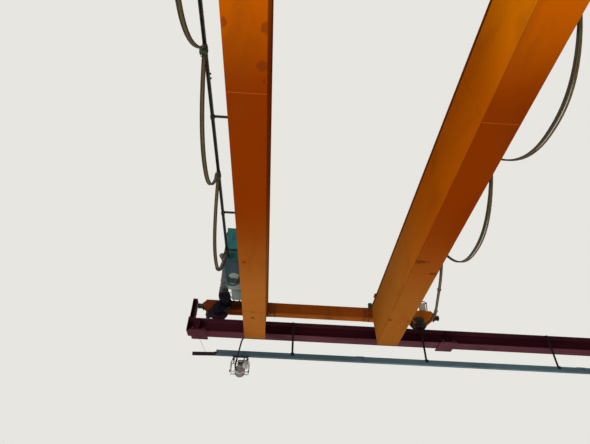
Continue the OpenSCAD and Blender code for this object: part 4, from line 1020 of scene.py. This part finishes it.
# Over each support in a half circle, and in a sagging loop between two supports
loopShape = {"steps": 24, "crestPoints": 11, "crestStep": 18}


def loopPath(ys, x, z, radius, sag, power, leans):
    path = []
    for i, y in enumerate(ys):
        if i:
            y0, y1 = ys[i - 1] - radius, y + radius
            for u in (k / loopShape["steps"] for k in range(1, loopShape["steps"])):
                low = 1 - abs(2 * u - 1) ** power
                path.append((x + leans[i - 1] * low, y0 + (y1 - y0) * u, z - sag * low))
        path += around("x", x, (y, z), radius, loopShape["crestPoints"], 0, loopShape["crestStep"])
    return path


def makeFestoonCables():
    f = festoon
    made = []
    for i, strand in enumerate(f["strands"]):
        path = loopPath(f["carriers"], f["trackX"] + strand["x"], f["saddleZ"],
                        f["saddleRadius"] + f["stagger"] * (i % 2), f["sag"] + strand["sag"], f["power"], f["leans"])
        half = {"wide": strand["wide"], "thick": strand["thick"], "sides": 8}
        made.append(layCord("festoonStrand%d" % (i + 1), path, 2 * strand["wide"], strand["finish"], half))
    for strand in made:
        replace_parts(strand, "festoon_cable")
    rise = loopPath(f["carriers"][:2], f["trackX"], f["saddleZ"], f["saddleRadius"], f["sag"], f["power"], f["leans"])
    hose = f["hose"]
    loftCable("festoonHose", rise[hose["from"]:hose["to"]], hose, "blackRubber")
    finishPiece("festoonEndClamp", [addBlock(*f["clamp"], 0.01)], "blackRubber")


def makeCarrierFittings():
    f = festoon
    x, z, saddle = f["trackX"], f["trackZ"], f["saddleZ"]
    parts = []
    for y in f["carriers"]:
        for side in (-1, 1):
            plate = x + side * 0.0185
            parts += [addBlock((plate - 0.0045, y - 0.027, z + 0.005), (plate + 0.0045, y + 0.027, z + 0.024), 0.002),
                      addPin("y", (x, z - 0.01), (y + side * 0.024, y + side * 0.04), 0.01, 16, 0.003),
                      addHoop("x", (y, saddle), x + side * 0.021, 0.0455, 0.0028, 28, 6),
                      addPin("x", (y, saddle + 0.008), (x + side * 0.03, x + side * 0.0385), 0.009, 6, 0.001)]
        parts += [addPin("x", (y, saddle), (x - 0.034, x + 0.034), 0.03, 28, 0.003),
                  addPin("z", (x, y), (z - 0.006, saddle - 0.022), 0.034, 24, 0.005, 0.024)]
    finishPiece("carrierFittings", parts, "carrierGreen")


# The track's slim arms, its clamps and end stops, and the bolts of its arms
def makeTrackFittings():
    f = festoon
    x, z, web = f["trackX"], f["trackZ"], f["web"]
    arms, parts = [], []
    for y in f["arms"]:
        arms += [addBlock((x - 0.022, y - 0.006, z + 0.0303), (web, y + 0.02, z + 0.0353), 0.001),
                 addBlock((x - 0.022, y + 0.004, z + 0.035), (web, y + 0.009, z + 0.056), 0.001),
                 addBlock((web - 0.005, y - 0.02, z), (web, y + 0.02, z + 0.09), 0.001)]
        parts += [addBlock((x + dx - 0.003, y - 0.024, z - 0.002), (x + dx + 0.003, y + 0.024, z + 0.036), 0.001)
                  for dx in (-0.018, 0.018)]
    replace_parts(finishPiece("festoonArms", arms, "darkSteel"), "festoon_arms")
    parts += [addBlock((x - 0.022, y0, z - 0.006), (x + 0.022, y1, z + 0.036), 0.002)
              for y0, y1 in f["stops"]]
    parts += [addPin("x", (y, z + 0.015), (x + 0.012, x + 0.031), 0.009, 8, 0.001) for y in f["jointBolts"]]
    groups = [([(x, y, z + 0.0353) for y in f["arms"]], (0, 0, 1))]
    groups += [(grid([web - 0.005], (y - 0.012, y + 0.012), (z + 0.008, z + 0.092)), (-1, 0, 0)) for y in f["arms"]]
    finishPiece("trackFittings", parts + addBolts(0.006, groups), "darkSteel")


# Side cables: three strands over the pegs of the right girder, led down to the wheel encoders
sideCable = {
    "x": 3.669,
    "pegs": (-2.745, -4.47, -6.195, -7.75, -9.255),
    "z": 0.1003,
    "radius": 0.0393,
    "sag": 0.57,
    "power": 2.3,
    "drop": ((3.667, -2.704, 0.104), (3.672, -2.65, 0.02), (3.75, -2.3, -0.062), (3.875, -1.8, -0.038),
             (4.006, -1.3, 0.01), (4.122, -0.95, 0.12), (4.23, -0.7, 0.305), (4.288, -0.55, 0.4),
             (4.288, -0.45, 0.385), (4.262, -0.39, 0.345), (4.211, -0.335, 0.305), (4.173, -0.28, 0.305),
             (4.154, -0.225, 0.345), (4.154, -0.18, 0.378)),
    "strands": (
        {"x": -0.0135, "radius": 0.009, "sag": 0.004, "finish": "cableDark"},
        {"x": 0.001, "radius": 0.0086, "sag": -0.003, "finish": "cableLight"},
        {"x": 0.0145, "radius": 0.0086, "sag": 0.002, "finish": "cableOlive"},
    ),
    "spread": {"pegs": 0.65, "lean": 0.9, "end": 0.35, "more": 0.55, "points": 6, "lift": 0.008, "shift": 0.001},
    "ties": (10, 16),
    "nut": (3.7015, 3.712),
    "plateBolts": (3.592, 3.598),
}


def makeSideCables():
    s, spread = sideCable, sideCable["spread"]
    made = []
    drop = smoothPath(s["drop"], 4)
    for i, strand in enumerate(s["strands"]):
        loops = loopPath(s["pegs"], s["x"] + strand["x"] * spread["pegs"], s["z"], s["radius"],
                         s["sag"] + strand["sag"], s["power"], [strand["x"] * spread["lean"]] * 4)
        route = []
        for k, point in enumerate(reversed(drop)):
            opened = min(1.0, k / spread["points"])
            away = strand["x"] * (spread["end"] + spread["more"] * opened) + spread["shift"]
            route.append((point.x + away, point.y, point.z + spread["lift"] * (i - 1) * (1 - opened)))
        route.pop()
        path = route + loops + acrossSpan(reversed(route))
        half = {"wide": strand["radius"], "thick": strand["radius"], "sides": 8}
        made.append(layCord("sideStrand%d" % (i + 1), path, 2 * strand["radius"], strand["finish"], half))
    for piece in made:
        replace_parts(piece, "side_cable")


def makeSideClamps():
    s = sideCable
    parts = []
    for peg in ((y, s["z"]) for y in s["pegs"]):
        parts += [addHoop("x", peg, s["x"] + dx, 0.0535, 0.003, 28, 6) for dx in (-0.018, 0.018)]
        parts.append(addPin("x", peg, s["nut"], 0.011, 6, 0.001))
        parts += [addPin("x", flat, s["plateBolts"], 0.006, 6, 0.0005) for flat in onCircle(peg, 0.036, 4, 45)]
    drop = smoothPath(s["drop"], 4)
    parts += [addRing(tuple(drop[k]), (0.35, 1, 0.3), 0.027, 0.004, 28, 6) for k in s["ties"]]
    finishPiece("sideCableClamps", parts, "darkSteel")


# Ribbed sleeve from the festoon's end to the terminal box
sleeve = {
    "route": ((0.596, -2.43, 0.084), (0.588, -2.395, 0.11), (0.576, -2.33, 0.15), (0.572, -2.12, 0.24),
              (0.568, -1.9, 0.318), (0.556, -1.735, 0.322), (0.528, -1.5, 0.345), (0.494, -1.25, 0.405),
              (0.443, -0.88, 0.556), (0.41, -0.6405, 0.6743), (0.39, -0.4725, 0.7263), (0.379, -0.3965, 0.7223),
              (0.378, -0.3705, 0.7223)),
    "start": 0.027,
    "grow": 0.038,
    "power": 1.1,
    "steps": 14,
    "ribDepth": 0.07,
    "ribSteps": 4,
    "tip": 0.4,
    "tipSteps": 40,
    "straps": (28, 70, 98, 126, 150),
}


def makeSleeve():
    s = sleeve
    path = smoothPath(s["route"], s["steps"])
    last = len(path) - 1
    radii = [s["start"] + s["grow"] * (i / last) ** s["power"] for i in range(last + 1)]
    grow = []
    for i, radius in enumerate(radii):
        rib = 1 if i % s["ribSteps"] < s["ribSteps"] / 2 else 1 - s["ribDepth"]
        grow.append(radius / s["start"] * rib * min(1.0, s["tip"] + i / s["tipSteps"]))
    half = {"wide": s["start"], "thick": s["start"], "grow": grow, "sides": 20}
    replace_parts(loftCable("driveCableSleeve", path, half, "sleeveGrey")[0], "drive_cable_sleeve")
    straps = [addRing(tuple(path[i]), tuple(path[i + 1] - path[i - 1]), radii[i] + 0.001, 0.004, 28, 6)
              for i in s["straps"]]
    finishPiece("sleeveStraps", straps, "blackRubber")


# Black leads: from the terminal box to the girder, and the limit switch's own lead
leads = {
    "DriveLead": {"diameter": 0.018, "points": (
        (0.478, -0.3, 0.669), (0.52, -0.3, 0.655), (0.566, -0.29, 0.615), (0.615, -0.27, 0.572),
        (0.66, -0.245, 0.578), (0.7, -0.215, 0.635), (0.735, -0.18, 0.682), (0.79, -0.14, 0.7),
        (0.872, -0.12, 0.68))},
    "BrakeLead": {"diameter": 0.01, "points": (
        (0.474, -0.335, 0.727), (0.52, -0.332, 0.716), (0.565, -0.31, 0.69), (0.62, -0.27, 0.668),
        (0.672, -0.23, 0.668), (0.72, -0.19, 0.7), (0.79, -0.16, 0.716), (0.872, -0.14, 0.705))},
    "SwitchLead": {"diameter": 0.018, "points": (
        (4.234, -0.055, 0.8665), (4.235, -0.064, 0.875), (4.248, -0.085, 0.882), (4.285, -0.1, 0.882),
        (4.32, -0.1, 0.866), (4.336, -0.092, 0.822), (4.342, -0.075, 0.76), (4.342, -0.066, 0.712),
        (4.342, -0.06, 0.69))},
}


def makeLeads():
    for name, lead in leads.items():
        path = [tuple(p) for p in smoothPath(lead["points"], 5)]
        layCord("far" + name, path, lead["diameter"], "blackRubber")
        layCord("near" + name, acrossSpan(path), lead["diameter"], "blackRubber")


# Cabinet: panels, doors with hinges and locks, a roof, and on its underside a gland plate, a round fan housing and a
# looped lead
cabinet = {
    "box": ((0.606, -2.36, 0.0603), (0.876, -1.56, 0.6303)),
    "slats": {"count": 6, "below": 0.085, "pitch": 0.022, "height": 0.011},
    "doors": ({"margins": (0.01, 0.41), "hinge": 0.006, "lock": 0.361},
              {"margins": (0.41, 0.01), "hinge": 0.796, "lock": 0.438}),
    "lockZ": 0.345,
    "handle": (0.3, 0.385),
    "foot": {"x": (0.86, 0.88), "along": (-2.26, -1.66), "rows": (0.12, 0.57)},
    "fan": (0.733, -1.836),
    "fanRings": (0.018, 0.034, 0.05),
    "arch": {"place": (0.752, -1.957), "radius": 0.082},
    "screws": ((0.651, 0.851), (-1.69, -1.58)),
    "lead": ((0.812, -1.95, 0.044), (0.83, -1.905, 0.042), (0.826, -1.858, 0.04), (0.798, -1.79, 0.038),
             (0.752, -1.732, 0.036), (0.704, -1.712, 0.036), (0.656, -1.724, 0.038), (0.64, -1.775, 0.04),
             (0.652, -1.84, 0.043), (0.688, -1.905, 0.045)),
    "leadDiameter": 0.019,
}


def makeCabinetFittings():
    c, box = cabinet, cabinet["box"]
    (x0, y0, z0), (x1, _, z1) = box
    parts = [addLid(box, face, 0.006, 0.002, (0.018, 0.008, 0.012, 0.012), 0.002, 0.022, -0.004)
             for face in ("-y", "+y")]
    s, foot, handle = c["slats"], c["foot"], c["handle"]
    for z in (z1 - s["below"] - s["pitch"] * k for k in range(s["count"])):
        parts.append(addBlock((x0 + 0.075, y0 - 0.012, z), (x1 - 0.06, y0 - 0.003, z + s["height"]), 0.003))
    for door in c["doors"]:
        parts.append(addLid(box, "-x", 0.003, 0.003, (*door["margins"], 0.01, 0.01), 0.0025, 0.03, 0.0025))
        hinge, lock = (x0 - 0.003, y0 + door["hinge"]), y0 + door["lock"]
        parts += [addPin("z", hinge, (z - 0.028, z + 0.028), 0.007, 14, 0.002) for z in (z0 + 0.09, z1 - 0.09)]
        parts.append(addPin("x", (lock, c["lockZ"]), (x0 - 0.002, x0 - 0.012), 0.017, 24, 0.002))
        parts.append(addBlock((x0 - 0.022, lock - 0.007, handle[0]), (x0 - 0.011, lock + 0.007, handle[1]), 0.003))
    parts.append(addLid(box, "+z", 0.01, 0.004, (-0.006, 0.002, -0.01, -0.01), 0.003, 0.04, 0.006))
    parts += [addBlock((foot["x"][0], y - 0.03, z - 0.02), (foot["x"][1], y + 0.03, z + 0.02), 0.003)
              for y in foot["along"] for z in foot["rows"]]
    finishPiece("cabinetFittings", parts, "cabinetTeal")
    # Painted shade: a dark teal sheet over most of the underside, and the fan housing in the same dark teal
    under = [addLid(box, "-z", 0.006, 0.001, (0.008, 0.006, 0.008, 0.197), 0.002),
             addPin("z", c["fan"], (z0 - 0.003, z0 - 0.013), 0.072, 44, 0.003, 0.066)]
    under += [addHoop("z", c["fan"], z0 - 0.013, radius, 0.003, 40, 8) for radius in c["fanRings"]]
    finishPiece("cabinetUnderside", under, "cabinetShade")
    arch = addPin("z", c["arch"]["place"], (z0 - 0.004, z0 - 0.012), c["arch"]["radius"], 44, 0.003)
    light = [pressPanel(arch, (0, 0, -1), 0.008, -0.002),
             addLid(box, "-z", 0.008, 0.001, (0.03, 0.006, 0.608, 0.002), 0.003, 0.01, 0.002)]
    light += [addPin("z", (x, y), (z0 - 0.007, z0 - 0.011), 0.006, 10, 0.001)
              for x in c["screws"][0] for y in c["screws"][1]]
    finishPiece("cabinetGlandPlates", light, "cabinetPale")
    layCord("cabinetLead", smoothPath(c["lead"], 5), c["leadDiameter"], "blackRubber")


# Junction box: a screwed lid, panels, and glands with short leads into the cabinet. Each point of a lead has a shift,
# a place and a share of the sag
junctionBox = {
    "box": ((0.676, -1.44, 0.1103), (0.876, -1.14, 0.3703)),
    "glands": (0.72, 0.765, 0.81),
    "glandZ": 0.2,
    "leadDiameter": 0.01,
    "leadSag": (0.018, 0.012),
    "lead": ((0, -1.466, 0.2, 0), (0, -1.488, 0.199, 0), (0, -1.51, 0.196, 0.5), (0, -1.53, 0.196, 1),
             (0.002, -1.545, 0.196, 0.6), (0.002, -1.5595, 0.197, 0)),
}


def makeBoxFittings():
    b, box, glandZ = junctionBox, junctionBox["box"], junctionBox["glandZ"]
    (x0, y0, z0), (_, y1, z1) = box
    parts = [addLid(box, "-x", 0.012, 0.002, 0.004, 0.004, 0.022, 0.003),
             addLid(box, "-y", 0.004, 0.002, 0.012, 0.002, 0.016, -0.002),
             addLid(box, "-z", 0.004, 0.002, (0.014, 0.012, 0.014, 0.014), 0.002, 0.018, 0.003)]
    parts += [addPin("x", (y, z), (x0 - 0.011, x0 - 0.017), 0.007, 12, 0.001)
              for y in (y0 + 0.022, y1 - 0.022) for z in (z0 + 0.022, z1 - 0.022)]
    for x in b["glands"]:
        parts.append(addPin("y", (x, glandZ), (y0 - 0.002, y0 - 0.026), 0.014, 6, 0.001))
        parts.append(addPin("y", (x, glandZ), (y0 - 0.024, y0 - 0.04), 0.01, 14, 0.002, 0.007))
    finishPiece("junctionBoxFittings", parts, "boxGreyGreen")
    for i, x in enumerate(b["glands"]):
        sag = b["leadSag"][0] + b["leadSag"][1] * i
        path = smoothPath([(x + shift, y, z - sag * share) for shift, y, z, share in b["lead"]], 5)
        layCord("boxLead%d" % (i + 1), path, b["leadDiameter"], "blackRubber")


# Collector: drum rims and hub, dark hook sleeves, the shoe bars and their springs, a housing and its lead
collector = {
    "x": (0.673, 0.988),
    "y": (-0.193, -0.067),
    "cage": (-0.733, -0.54),
    "top": -0.436,
    "drum": (0.8368, -0.693),
    "drumRadius": 0.086,
    "wraps": {"count": 9, "start": 0.022, "pitch": 0.0103},
    "spokes": (0.018, 0.052),
    "hub": (0.8468, -0.691),
    "arms": (((0.893, -0.195, -0.512), (0.846, -0.197, -0.622), 0.01, 14, 0.002),
             ((0.893, -0.194, -0.512), (0.905, -0.13, -0.441), 0.009, 14, 0.002),
             ((0.796, -0.196, -0.558), (0.832, -0.196, -0.585), 0.01, 12, 0.002)),
    "housing": ((0.786, -0.15, -0.584), (0.95, -0.1, -0.5)),
    "shield": ((0.884, -0.191, -0.664), (0.958, -0.133, -0.566)),
    "hook": {"bottom": -0.48, "sleeve": (-0.478, -0.53), "pin": -0.447, "foot": (-0.53, -0.492)},
    "shoe": {"y": (-0.137, -0.123), "z": (-0.456, -0.437)},
    "spring": {"y": -0.13, "start": -0.528, "pitch": 0.012, "count": 7},
    "coil": {"x": 0.925, "start": -0.6241, "count": 5},
    "lead": ((0.864, -0.288, -0.15), (0.845, -0.286, -0.17), (0.828, -0.284, -0.205), (0.813, -0.278, -0.277),
             (0.797, -0.268, -0.384), (0.78, -0.258, -0.458), (0.772, -0.246, -0.54), (0.762, -0.236, -0.597),
             (0.759, -0.228, -0.65), (0.772, -0.216, -0.69), (0.8, -0.204, -0.704)),
    "leadDiameter": 0.028,
}


def makeCollectorFittings():
    c = collector
    drum, radius, hub = c["drum"], c["drumRadius"], c["hub"]
    (x0, x1), (y0, y1), (low, high) = c["x"], c["y"], c["cage"]
    hooks = (x0 + 0.036, x1 - 0.036)
    parts = [addHoop("y", drum, y, radius - 0.003, 0.006, 48, 8) for y in (y0 + 0.01, y1 - 0.01)]
    w = c["wraps"]
    parts += [addHoop("y", drum, y0 + w["start"] + w["pitch"] * k, radius - 0.001, 0.0052, 40, 6)
              for k in range(w["count"])]
    inner, outer = (around("y", y0 - 0.001, drum, reach, 6, 20) for reach in c["spokes"])
    parts += [addRod(start, end, 0.004, 8) for start, end in zip(inner, outer)]
    finishPiece("collectorDrum", parts, "collectorGrey")
    parts = [addPin("y", hub, (y0 - 0.004, y0 - 0.024), 0.056, 40, 0.006, 0.05),
             addHoop("y", hub, y0 - 0.024, 0.036, 0.004, 36, 8),
             addPin("y", hub, (y0 - 0.022, y0 - 0.034), 0.014, 6, 0.001)]
    finishPiece("collectorHub", parts, "collectorPink")
    dark, h, (shoeY, shoeZ) = [addRod(*arm) for arm in c["arms"]], c["hook"], c["shoe"].values()
    for x in hooks:
        for y in (y0 + 0.006, y1 - 0.006):
            dark += [addBlock((x - 0.013, y - 0.01, h["bottom"]), (x + 0.013, y + 0.01, c["top"] - 0.001), 0.004),
                     addPin("z", (x, y), h["sleeve"], 0.0085, 16, 0.002, 0.0115)]
        dark += [addPin("y", (x, h["pin"]), (y0 + 0.004, y1 - 0.004), 0.009, 20, 0.002),
                 addBlock((x - 0.02, y0 - 0.004, h["foot"][0]), (x + 0.02, y0 + 0.012, h["foot"][1]), 0.005)]
    dark.append(addBlock((x0 + 0.03, shoeY[0], shoeZ[0]), (x1 - 0.03, shoeY[1], shoeZ[1]), 0.003))
    dark += [addBlock((x - 0.012, y0 - 0.012, low - 0.002), (x + 0.012, y0 + 0.012, low + 0.026), 0.004)
             for x in (x0, x1)]
    finishPiece("collectorShoes", dark, "darkSteel")
    finishPiece("collectorHousing", [pressPanel(addBlock(*c["housing"], 0.006), (0, -1, 0), 0.01, 0.003)],
                "collectorGrey", slot="collector_metal")
    s, coil = c["spring"], c["coil"]
    springs = [addRing((x, s["y"], s["start"] + s["pitch"] * k), (0.06, 0, 1), 0.013, 0.0022, 20, 6)
               for x in hooks for k in range(s["count"])]
    springs += [addRing((coil["x"], s["y"], coil["start"] + s["pitch"] * k), (0, 0.05, 1), 0.045, 0.0022, 28, 6)
                for k in range(coil["count"])]
    springs.append(addBlock(*c["shield"], 0.006))
    left, right = x0 + 0.004, x1 - 0.004
    for y in (y0 + 0.004, y1 - 0.004):
        springs += [addPin("z", (x, y), (low + 0.002, high), 0.0095, 16, 0.002) for x in (left, right)]
        springs.append(addPin("x", (y, low + 0.006), (left, right), 0.0105, 16, 0.002))
        springs.append(addPin("x", (y, high - 0.006), (left, right), 0.0075, 16, 0.002))
    finishPiece("collectorSprings", springs, "galvanised")
    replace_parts(layCord("collectorLead", smoothPath(c["lead"], 5), c["leadDiameter"], "blackRubber"), "collector_arm")


# Conductor rail: joint sleeves, end caps, contact strips, the feed bar at its left end, hanger straps and bolts
conductor = {
    "x": (0.4, 13.9),
    "y": -0.13,
    "z": (-0.431, -0.339),
    "half": 0.028,
    "joints": (2.93, 6.93, 10.93),
    "hangers": (1.73, 4.13, 6.53, 8.93, 11.33),
    "strap": {"half": 0.018, "z": (-0.345, 0.262), "tab": (0.254, 0.273), "reach": -0.085, "nut": 0.012},
    "screws": (0.62, 1.2),
    "feed": (((0.395, -0.13, -0.406), (-0.02, -0.13, -0.42), 0.032, 20, 0.002),
             ((0.402, -0.13, -0.396), (0.35, -0.13, -0.405), 0.036, 20, 0.004, 0.032),
             ((0.212, -0.13, -0.398), (-0.05, -0.124, 0.019), 0.0022, 8)),
}


def makeConductorFittings():
    c = conductor
    y, (x0, x1), (z0, z1), half = c["y"], c["x"], c["z"], c["half"]
    parts = []
    for x in c["joints"]:
        for low, high in (((-half - 0.004, z0 + 0.012), (-half + 0.001, z1 + 0.004)),
                          ((half - 0.001, z0 + 0.012), (half + 0.004, z1 + 0.004)),
                          ((-half - 0.004, z1 - 0.001), (half + 0.004, z1 + 0.005))):
            parts.append(addBlock((x - 0.075, y + low[0], low[1]), (x + 0.075, y + high[0], high[1]), 0.002))
    parts += [addBlock((x - 0.006, y - half - 0.003, z0 + 0.001), (x + 0.006, y + half + 0.003, z1 + 0.003), 0.002)
              for x in (x0 - 0.004, x1 + 0.004)]
    parts += [addPin("x", (y + dy, z0 + dz), (x0 + 0.01, x1 - 0.01), 0.0035, 8)
              for dy in (-0.0195, 0.0195) for dz in (0.03, 0.056)]
    parts += [addPin("y", (x, z0 + 0.045), (y - half - 0.001, y - half - 0.009), 0.01, 6, 0.001)
              for x in c["screws"]]
    finishPiece("conductorFittings", parts, "conductorGrey", "runway")
    feed, s = [addRod(*rod) for rod in c["feed"]], c["strap"]
    for x in c["hangers"]:
        left, right = x - s["half"], x + s["half"]
        feed += [addBlock((left, y - 0.008, s["z"][0]), (right, y - 0.001, s["z"][1]), 0.001),
                 addBlock((left, y - 0.008, s["tab"][0]), (right, s["reach"], s["tab"][1]), 0.001),
                 addBlock((x - 0.03, y - half - 0.006, z0 + 0.052), (x + 0.03, y + half + 0.006, z1 + 0.01), 0.003)]
    finishPiece("conductorFeed", feed, "hangerDark", "runway")
    groups = [(grid(c["hangers"], [y], [z1 + 0.008]), (0, 0, 1)), (grid(c["hangers"], [y], [s["nut"]]), (0, 0, -1))]
    for side in (-1, 1):
        face = y + side * (half + 0.004)
        groups += [(grid(c["hangers"], [face], [z0 + 0.066]), (0, side, 0)),
                   (grid([x + dx for x in c["joints"] for dx in (-0.045, 0.045)], [face], [z0 + 0.055]), (0, side, 0))]
    finishPiece("conductorBolts", addBolts(0.007, groups), "boltSteel", "runway")


# Runway: anchor bolts and nuts, rail clips, the end stops' rubber pads and their bolts, and weld beads
runway = {
    "supports": (0.0, 4.6, 9.2, 13.8),
    "plateTop": 0.02,
    "anchor": {"size": 0.024, "proud": 0.022, "along": 0.1, "across": 0.165},
    "ends": ((-0.125, 1), (13.925, -1)),
    "clips": {"start": -0.005, "pitch": 0.5976, "count": 24, "offset": 0.05},
    "clip": (((-0.03, 0.024, 0.27), (0.03, 0.074, 0.284)), ((-0.03, 0.018, 0.28), (0.03, 0.046, 0.292))),
    "pad": {"thickness": 0.003, "half": 0.06, "z": (0.525, 0.645)},
    "stopBolts": ((-0.075, 0.075), (0.36, 0.44, 0.66)),
    "stopWelds": {"x": (-0.205, 14.005), "z": 0.2705, "across": (-0.09, 0.09)},
    "stiffener": {"z": (0.056, 0.234), "half": 0.006},
    "plate": {"half": 0.15, "side": 0.126},
}


def makeRunwayFittings():
    r, a, c = runway, runway["anchor"], runway["clips"]
    points = [(x + dx, dy, r["plateTop"]) for x in r["supports"] for dx in (-a["along"], a["along"])
              for dy in (-a["across"], a["across"])]
    bolts = addBolts(a["size"], [(points, (0, 0, 1))], a["proud"])
    finishPiece("farAnchorBolts", bolts, "boltSteel", "runway", twins=2)
    parts = [addBlock(*corners, 0.003) for corners in r["clip"]]
    parts.append(addPin("z", (0, 0.056), (0.283, 0.298), 0.013, 6, 0.001))
    places = []
    for x in (c["start"] + k * c["pitch"] for k in range(c["count"])):
        places += [Matrix.Translation((x, 0, 0)),
                   Matrix.Translation((x + c["offset"], 0, 0)) @ Matrix.Rotation(math.pi, 4, "Z")]
    finishPiece("farRailClips", copyTo(joinParts(parts), places), "railSteel", "runway", twins=2)
    pads, groups, pad = [], [], r["pad"]
    for x, side in r["ends"]:
        near, far = sorted((x, x + side * pad["thickness"]))
        block = addBlock((near, -pad["half"], pad["z"][0]), (far, pad["half"], pad["z"][1]), 0.001)
        pads.append(pressPanel(block, (side, 0, 0), 0.012, -0.001))
        groups.append((grid([x], *r["stopBolts"]), (side, 0, 0)))
    finishPiece("farStopPads", pads, "blackRubber", "runway", twins=2)
    finishPiece("farStopBolts", addBolts(0.01, groups), "boltSteel", "runway", twins=2)
    stop, rib, plate = r["stopWelds"], r["stiffener"], r["plate"]
    beads = [addPin("y", (x, stop["z"]), stop["across"], 0.005, 6) for x in stop["x"]]
    for x in r["supports"]:
        beads += [addPin("z", (x + dx, y), rib["z"], 0.004, 6)
                  for dx in (-rib["half"], rib["half"]) for y in (-rib["half"], rib["half"])]
        beads += [addPin("x", (y, r["plateTop"]), (x - plate["half"], x + plate["half"]), 0.005, 6)
                  for y in (-plate["side"], plate["side"])]
    finishPiece("farRunwayWelds", beads, "runwayMaroon", "runway", twins=2)


# Trolley: rope laid on the drum, bolts, cowls, axle covers, and the hook block's cheeks and latch
trolley = {
    "middle": (2.232, -10.4),
    "drumZ": 1.2386,
    "drumRadius": 0.2,
    "rope": 0.007,
    "groove": 0.02,
    "turns": 11,
    "frameTop": 0.9886,
    "rails": (1.048, 3.416),
    "axles": (-11.0, -9.8),
    "axleZ": 0.8286,
    "wheelBolts": (0.07, 0.036),
    "frameBolts": ((-0.742, -0.678, 0.678, 0.742), (-0.43, -0.33, 0.33, 0.43)),
    "gearBolts": ((0.03, 0.15), (-0.46, -0.3, 0.3, 0.46)),
    "bumpers": ((-11.165, -11.22), (-9.635, -9.58)),
    "bumperZ": 0.9,
    "gearbox": 2.982,
    "motor": (-10.55, 1.1386),
    "motorFlange": 3.182,
    "cowl": {"at": 3.502, "rings": (0.03, 0.055, 0.08, 0.1), "reach": 0.104, "turn": 0, "ringWire": 0.0025,
             "spokeWire": 0.0028},
    "lid": ((3.24, -10.6, 1.2336), (3.36, -10.5, 1.3036)),
    "cover": ((3.01, -10.649, 1.03), (3.14, -10.638, 1.24)),
    "ribs": {"start": 2.99, "pitch": 0.06, "count": 3, "out": 0.235, "z": (1.2, 0.99)},
    "block": (-10.3427, 0.1053),
    "latch": {"block": (-0.262, -0.2), "arm": (-0.232, -0.3)},
}


def makeTrolleyFittings():
    t = trolley
    (mx, my), drum, top, rope = t["middle"], (t["middle"][1], t["drumZ"]), t["frameTop"], t["rope"]
    wraps = [addHoop("x", drum, mx + side * (0.105 + k * t["groove"]), t["drumRadius"] + rope, rope, 48, 8)
             for side in (-1, 1) for k in range(t["turns"])]
    finishPiece("drumRope", wraps, "drumSteel", slot="rope_steel")
    groups = [(grid(shifted(base, xs), shifted(my, ys), [z]), (0, 0, 1))
              for base, (xs, ys), z in ((mx, t["frameBolts"], top), (t["gearbox"], t["gearBolts"], top + 0.02))]
    groups += [(around("x", t["gearbox"], drum, 0.15, 10), (-1, 0, 0)),
               (around("x", t["motorFlange"], t["motor"], 0.106, 8), (1, 0, 0))]
    covers, (out, circle) = [], t["wheelBolts"]
    for side in (-1, 1):
        for x in (rail + side * out for rail in t["rails"]):
            for y in t["axles"]:
                axle = (y, t["axleZ"])
                groups.append((around("x", x, axle, circle, 3, 90), (side, 0, 0)))
                covers.append(addPin("x", axle, (x - side * 0.0045, x + side * 0.0015), 0.052, 32, 0.002))
    finishPiece("trolleyBolts", addBolts(0.01, groups), "boltSteel")
    covers += [addPin("y", (x, t["bumperZ"]), span, 0.04, 28, 0.006, 0.034)
               for x in t["rails"] for span in t["bumpers"]]
    finishPiece("trolleyAxleCovers", covers, "darkSteel")
    motor, ribs = addGrille("x", t["motor"], t["cowl"]), t["ribs"]
    motor += [addPin("z", (ribs["start"] + ribs["pitch"] * k, my - ribs["out"]), ribs["z"], 0.006, 8)
              for k in range(ribs["count"])]
    motor += [pressPanel(addBlock(*t["lid"], 0.005), (0, 0, 1), 0.012, 0.003),
              pressPanel(addBlock(*t["cover"], 0.003), (0, -1, 0), 0.018, 0.003)]
    finishPiece("hoistFittings", motor, "cabinetTeal")
    by, bz = t["block"]
    block = [addPin("z", (mx, by), (bz - 0.252, bz - 0.268), 0.048, 36, 0.004)]
    for side in (-1, 1):
        block.append(addPin("x", (by, bz), (mx + side * 0.1365, mx + side * 0.1485), 0.048, 32, 0.003))
        block += [addPin("x", (by + dy, bz + dz), (mx + side * 0.134, mx + side * 0.146), 0.012, 6, 0.001)
                  for dy in (-0.042, 0.042) for dz in (0.02, -0.22)]
        block.append(addHoop("x", (by, bz), mx + side * 0.105, 0.139, 0.004, 48, 6))
    finishPiece("hookBlockFittings", block, "blockYellow")
    (z0, z1), (z2, z3) = t["latch"]["block"], t["latch"]["arm"]
    latch = [addBlock((mx - 0.006, by - 0.012, z0), (mx + 0.006, by + 0.012, z1), 0.003),
             addRod((mx + 0.02, by, z2), (mx + 0.062, by, z3), 0.007, 10, 0.002)]
    finishPiece("hookLatch", latch, "drumSteel", slot="rope_steel")


buildSteps = (makeGirderWelds, makeCarriageFittings, makeDriveFittings, makeRightEndFittings, makeBufferFittings,
              makeFestoonCables, makeCarrierFittings, makeTrackFittings, makeSideCables, makeSideClamps, makeSleeve,
              makeLeads, makeCabinetFittings, makeBoxFittings, makeCollectorFittings, makeConductorFittings,
              makeRunwayFittings, makeTrolleyFittings)
for step in buildSteps:
    step()
    print("done:", step.__name__)
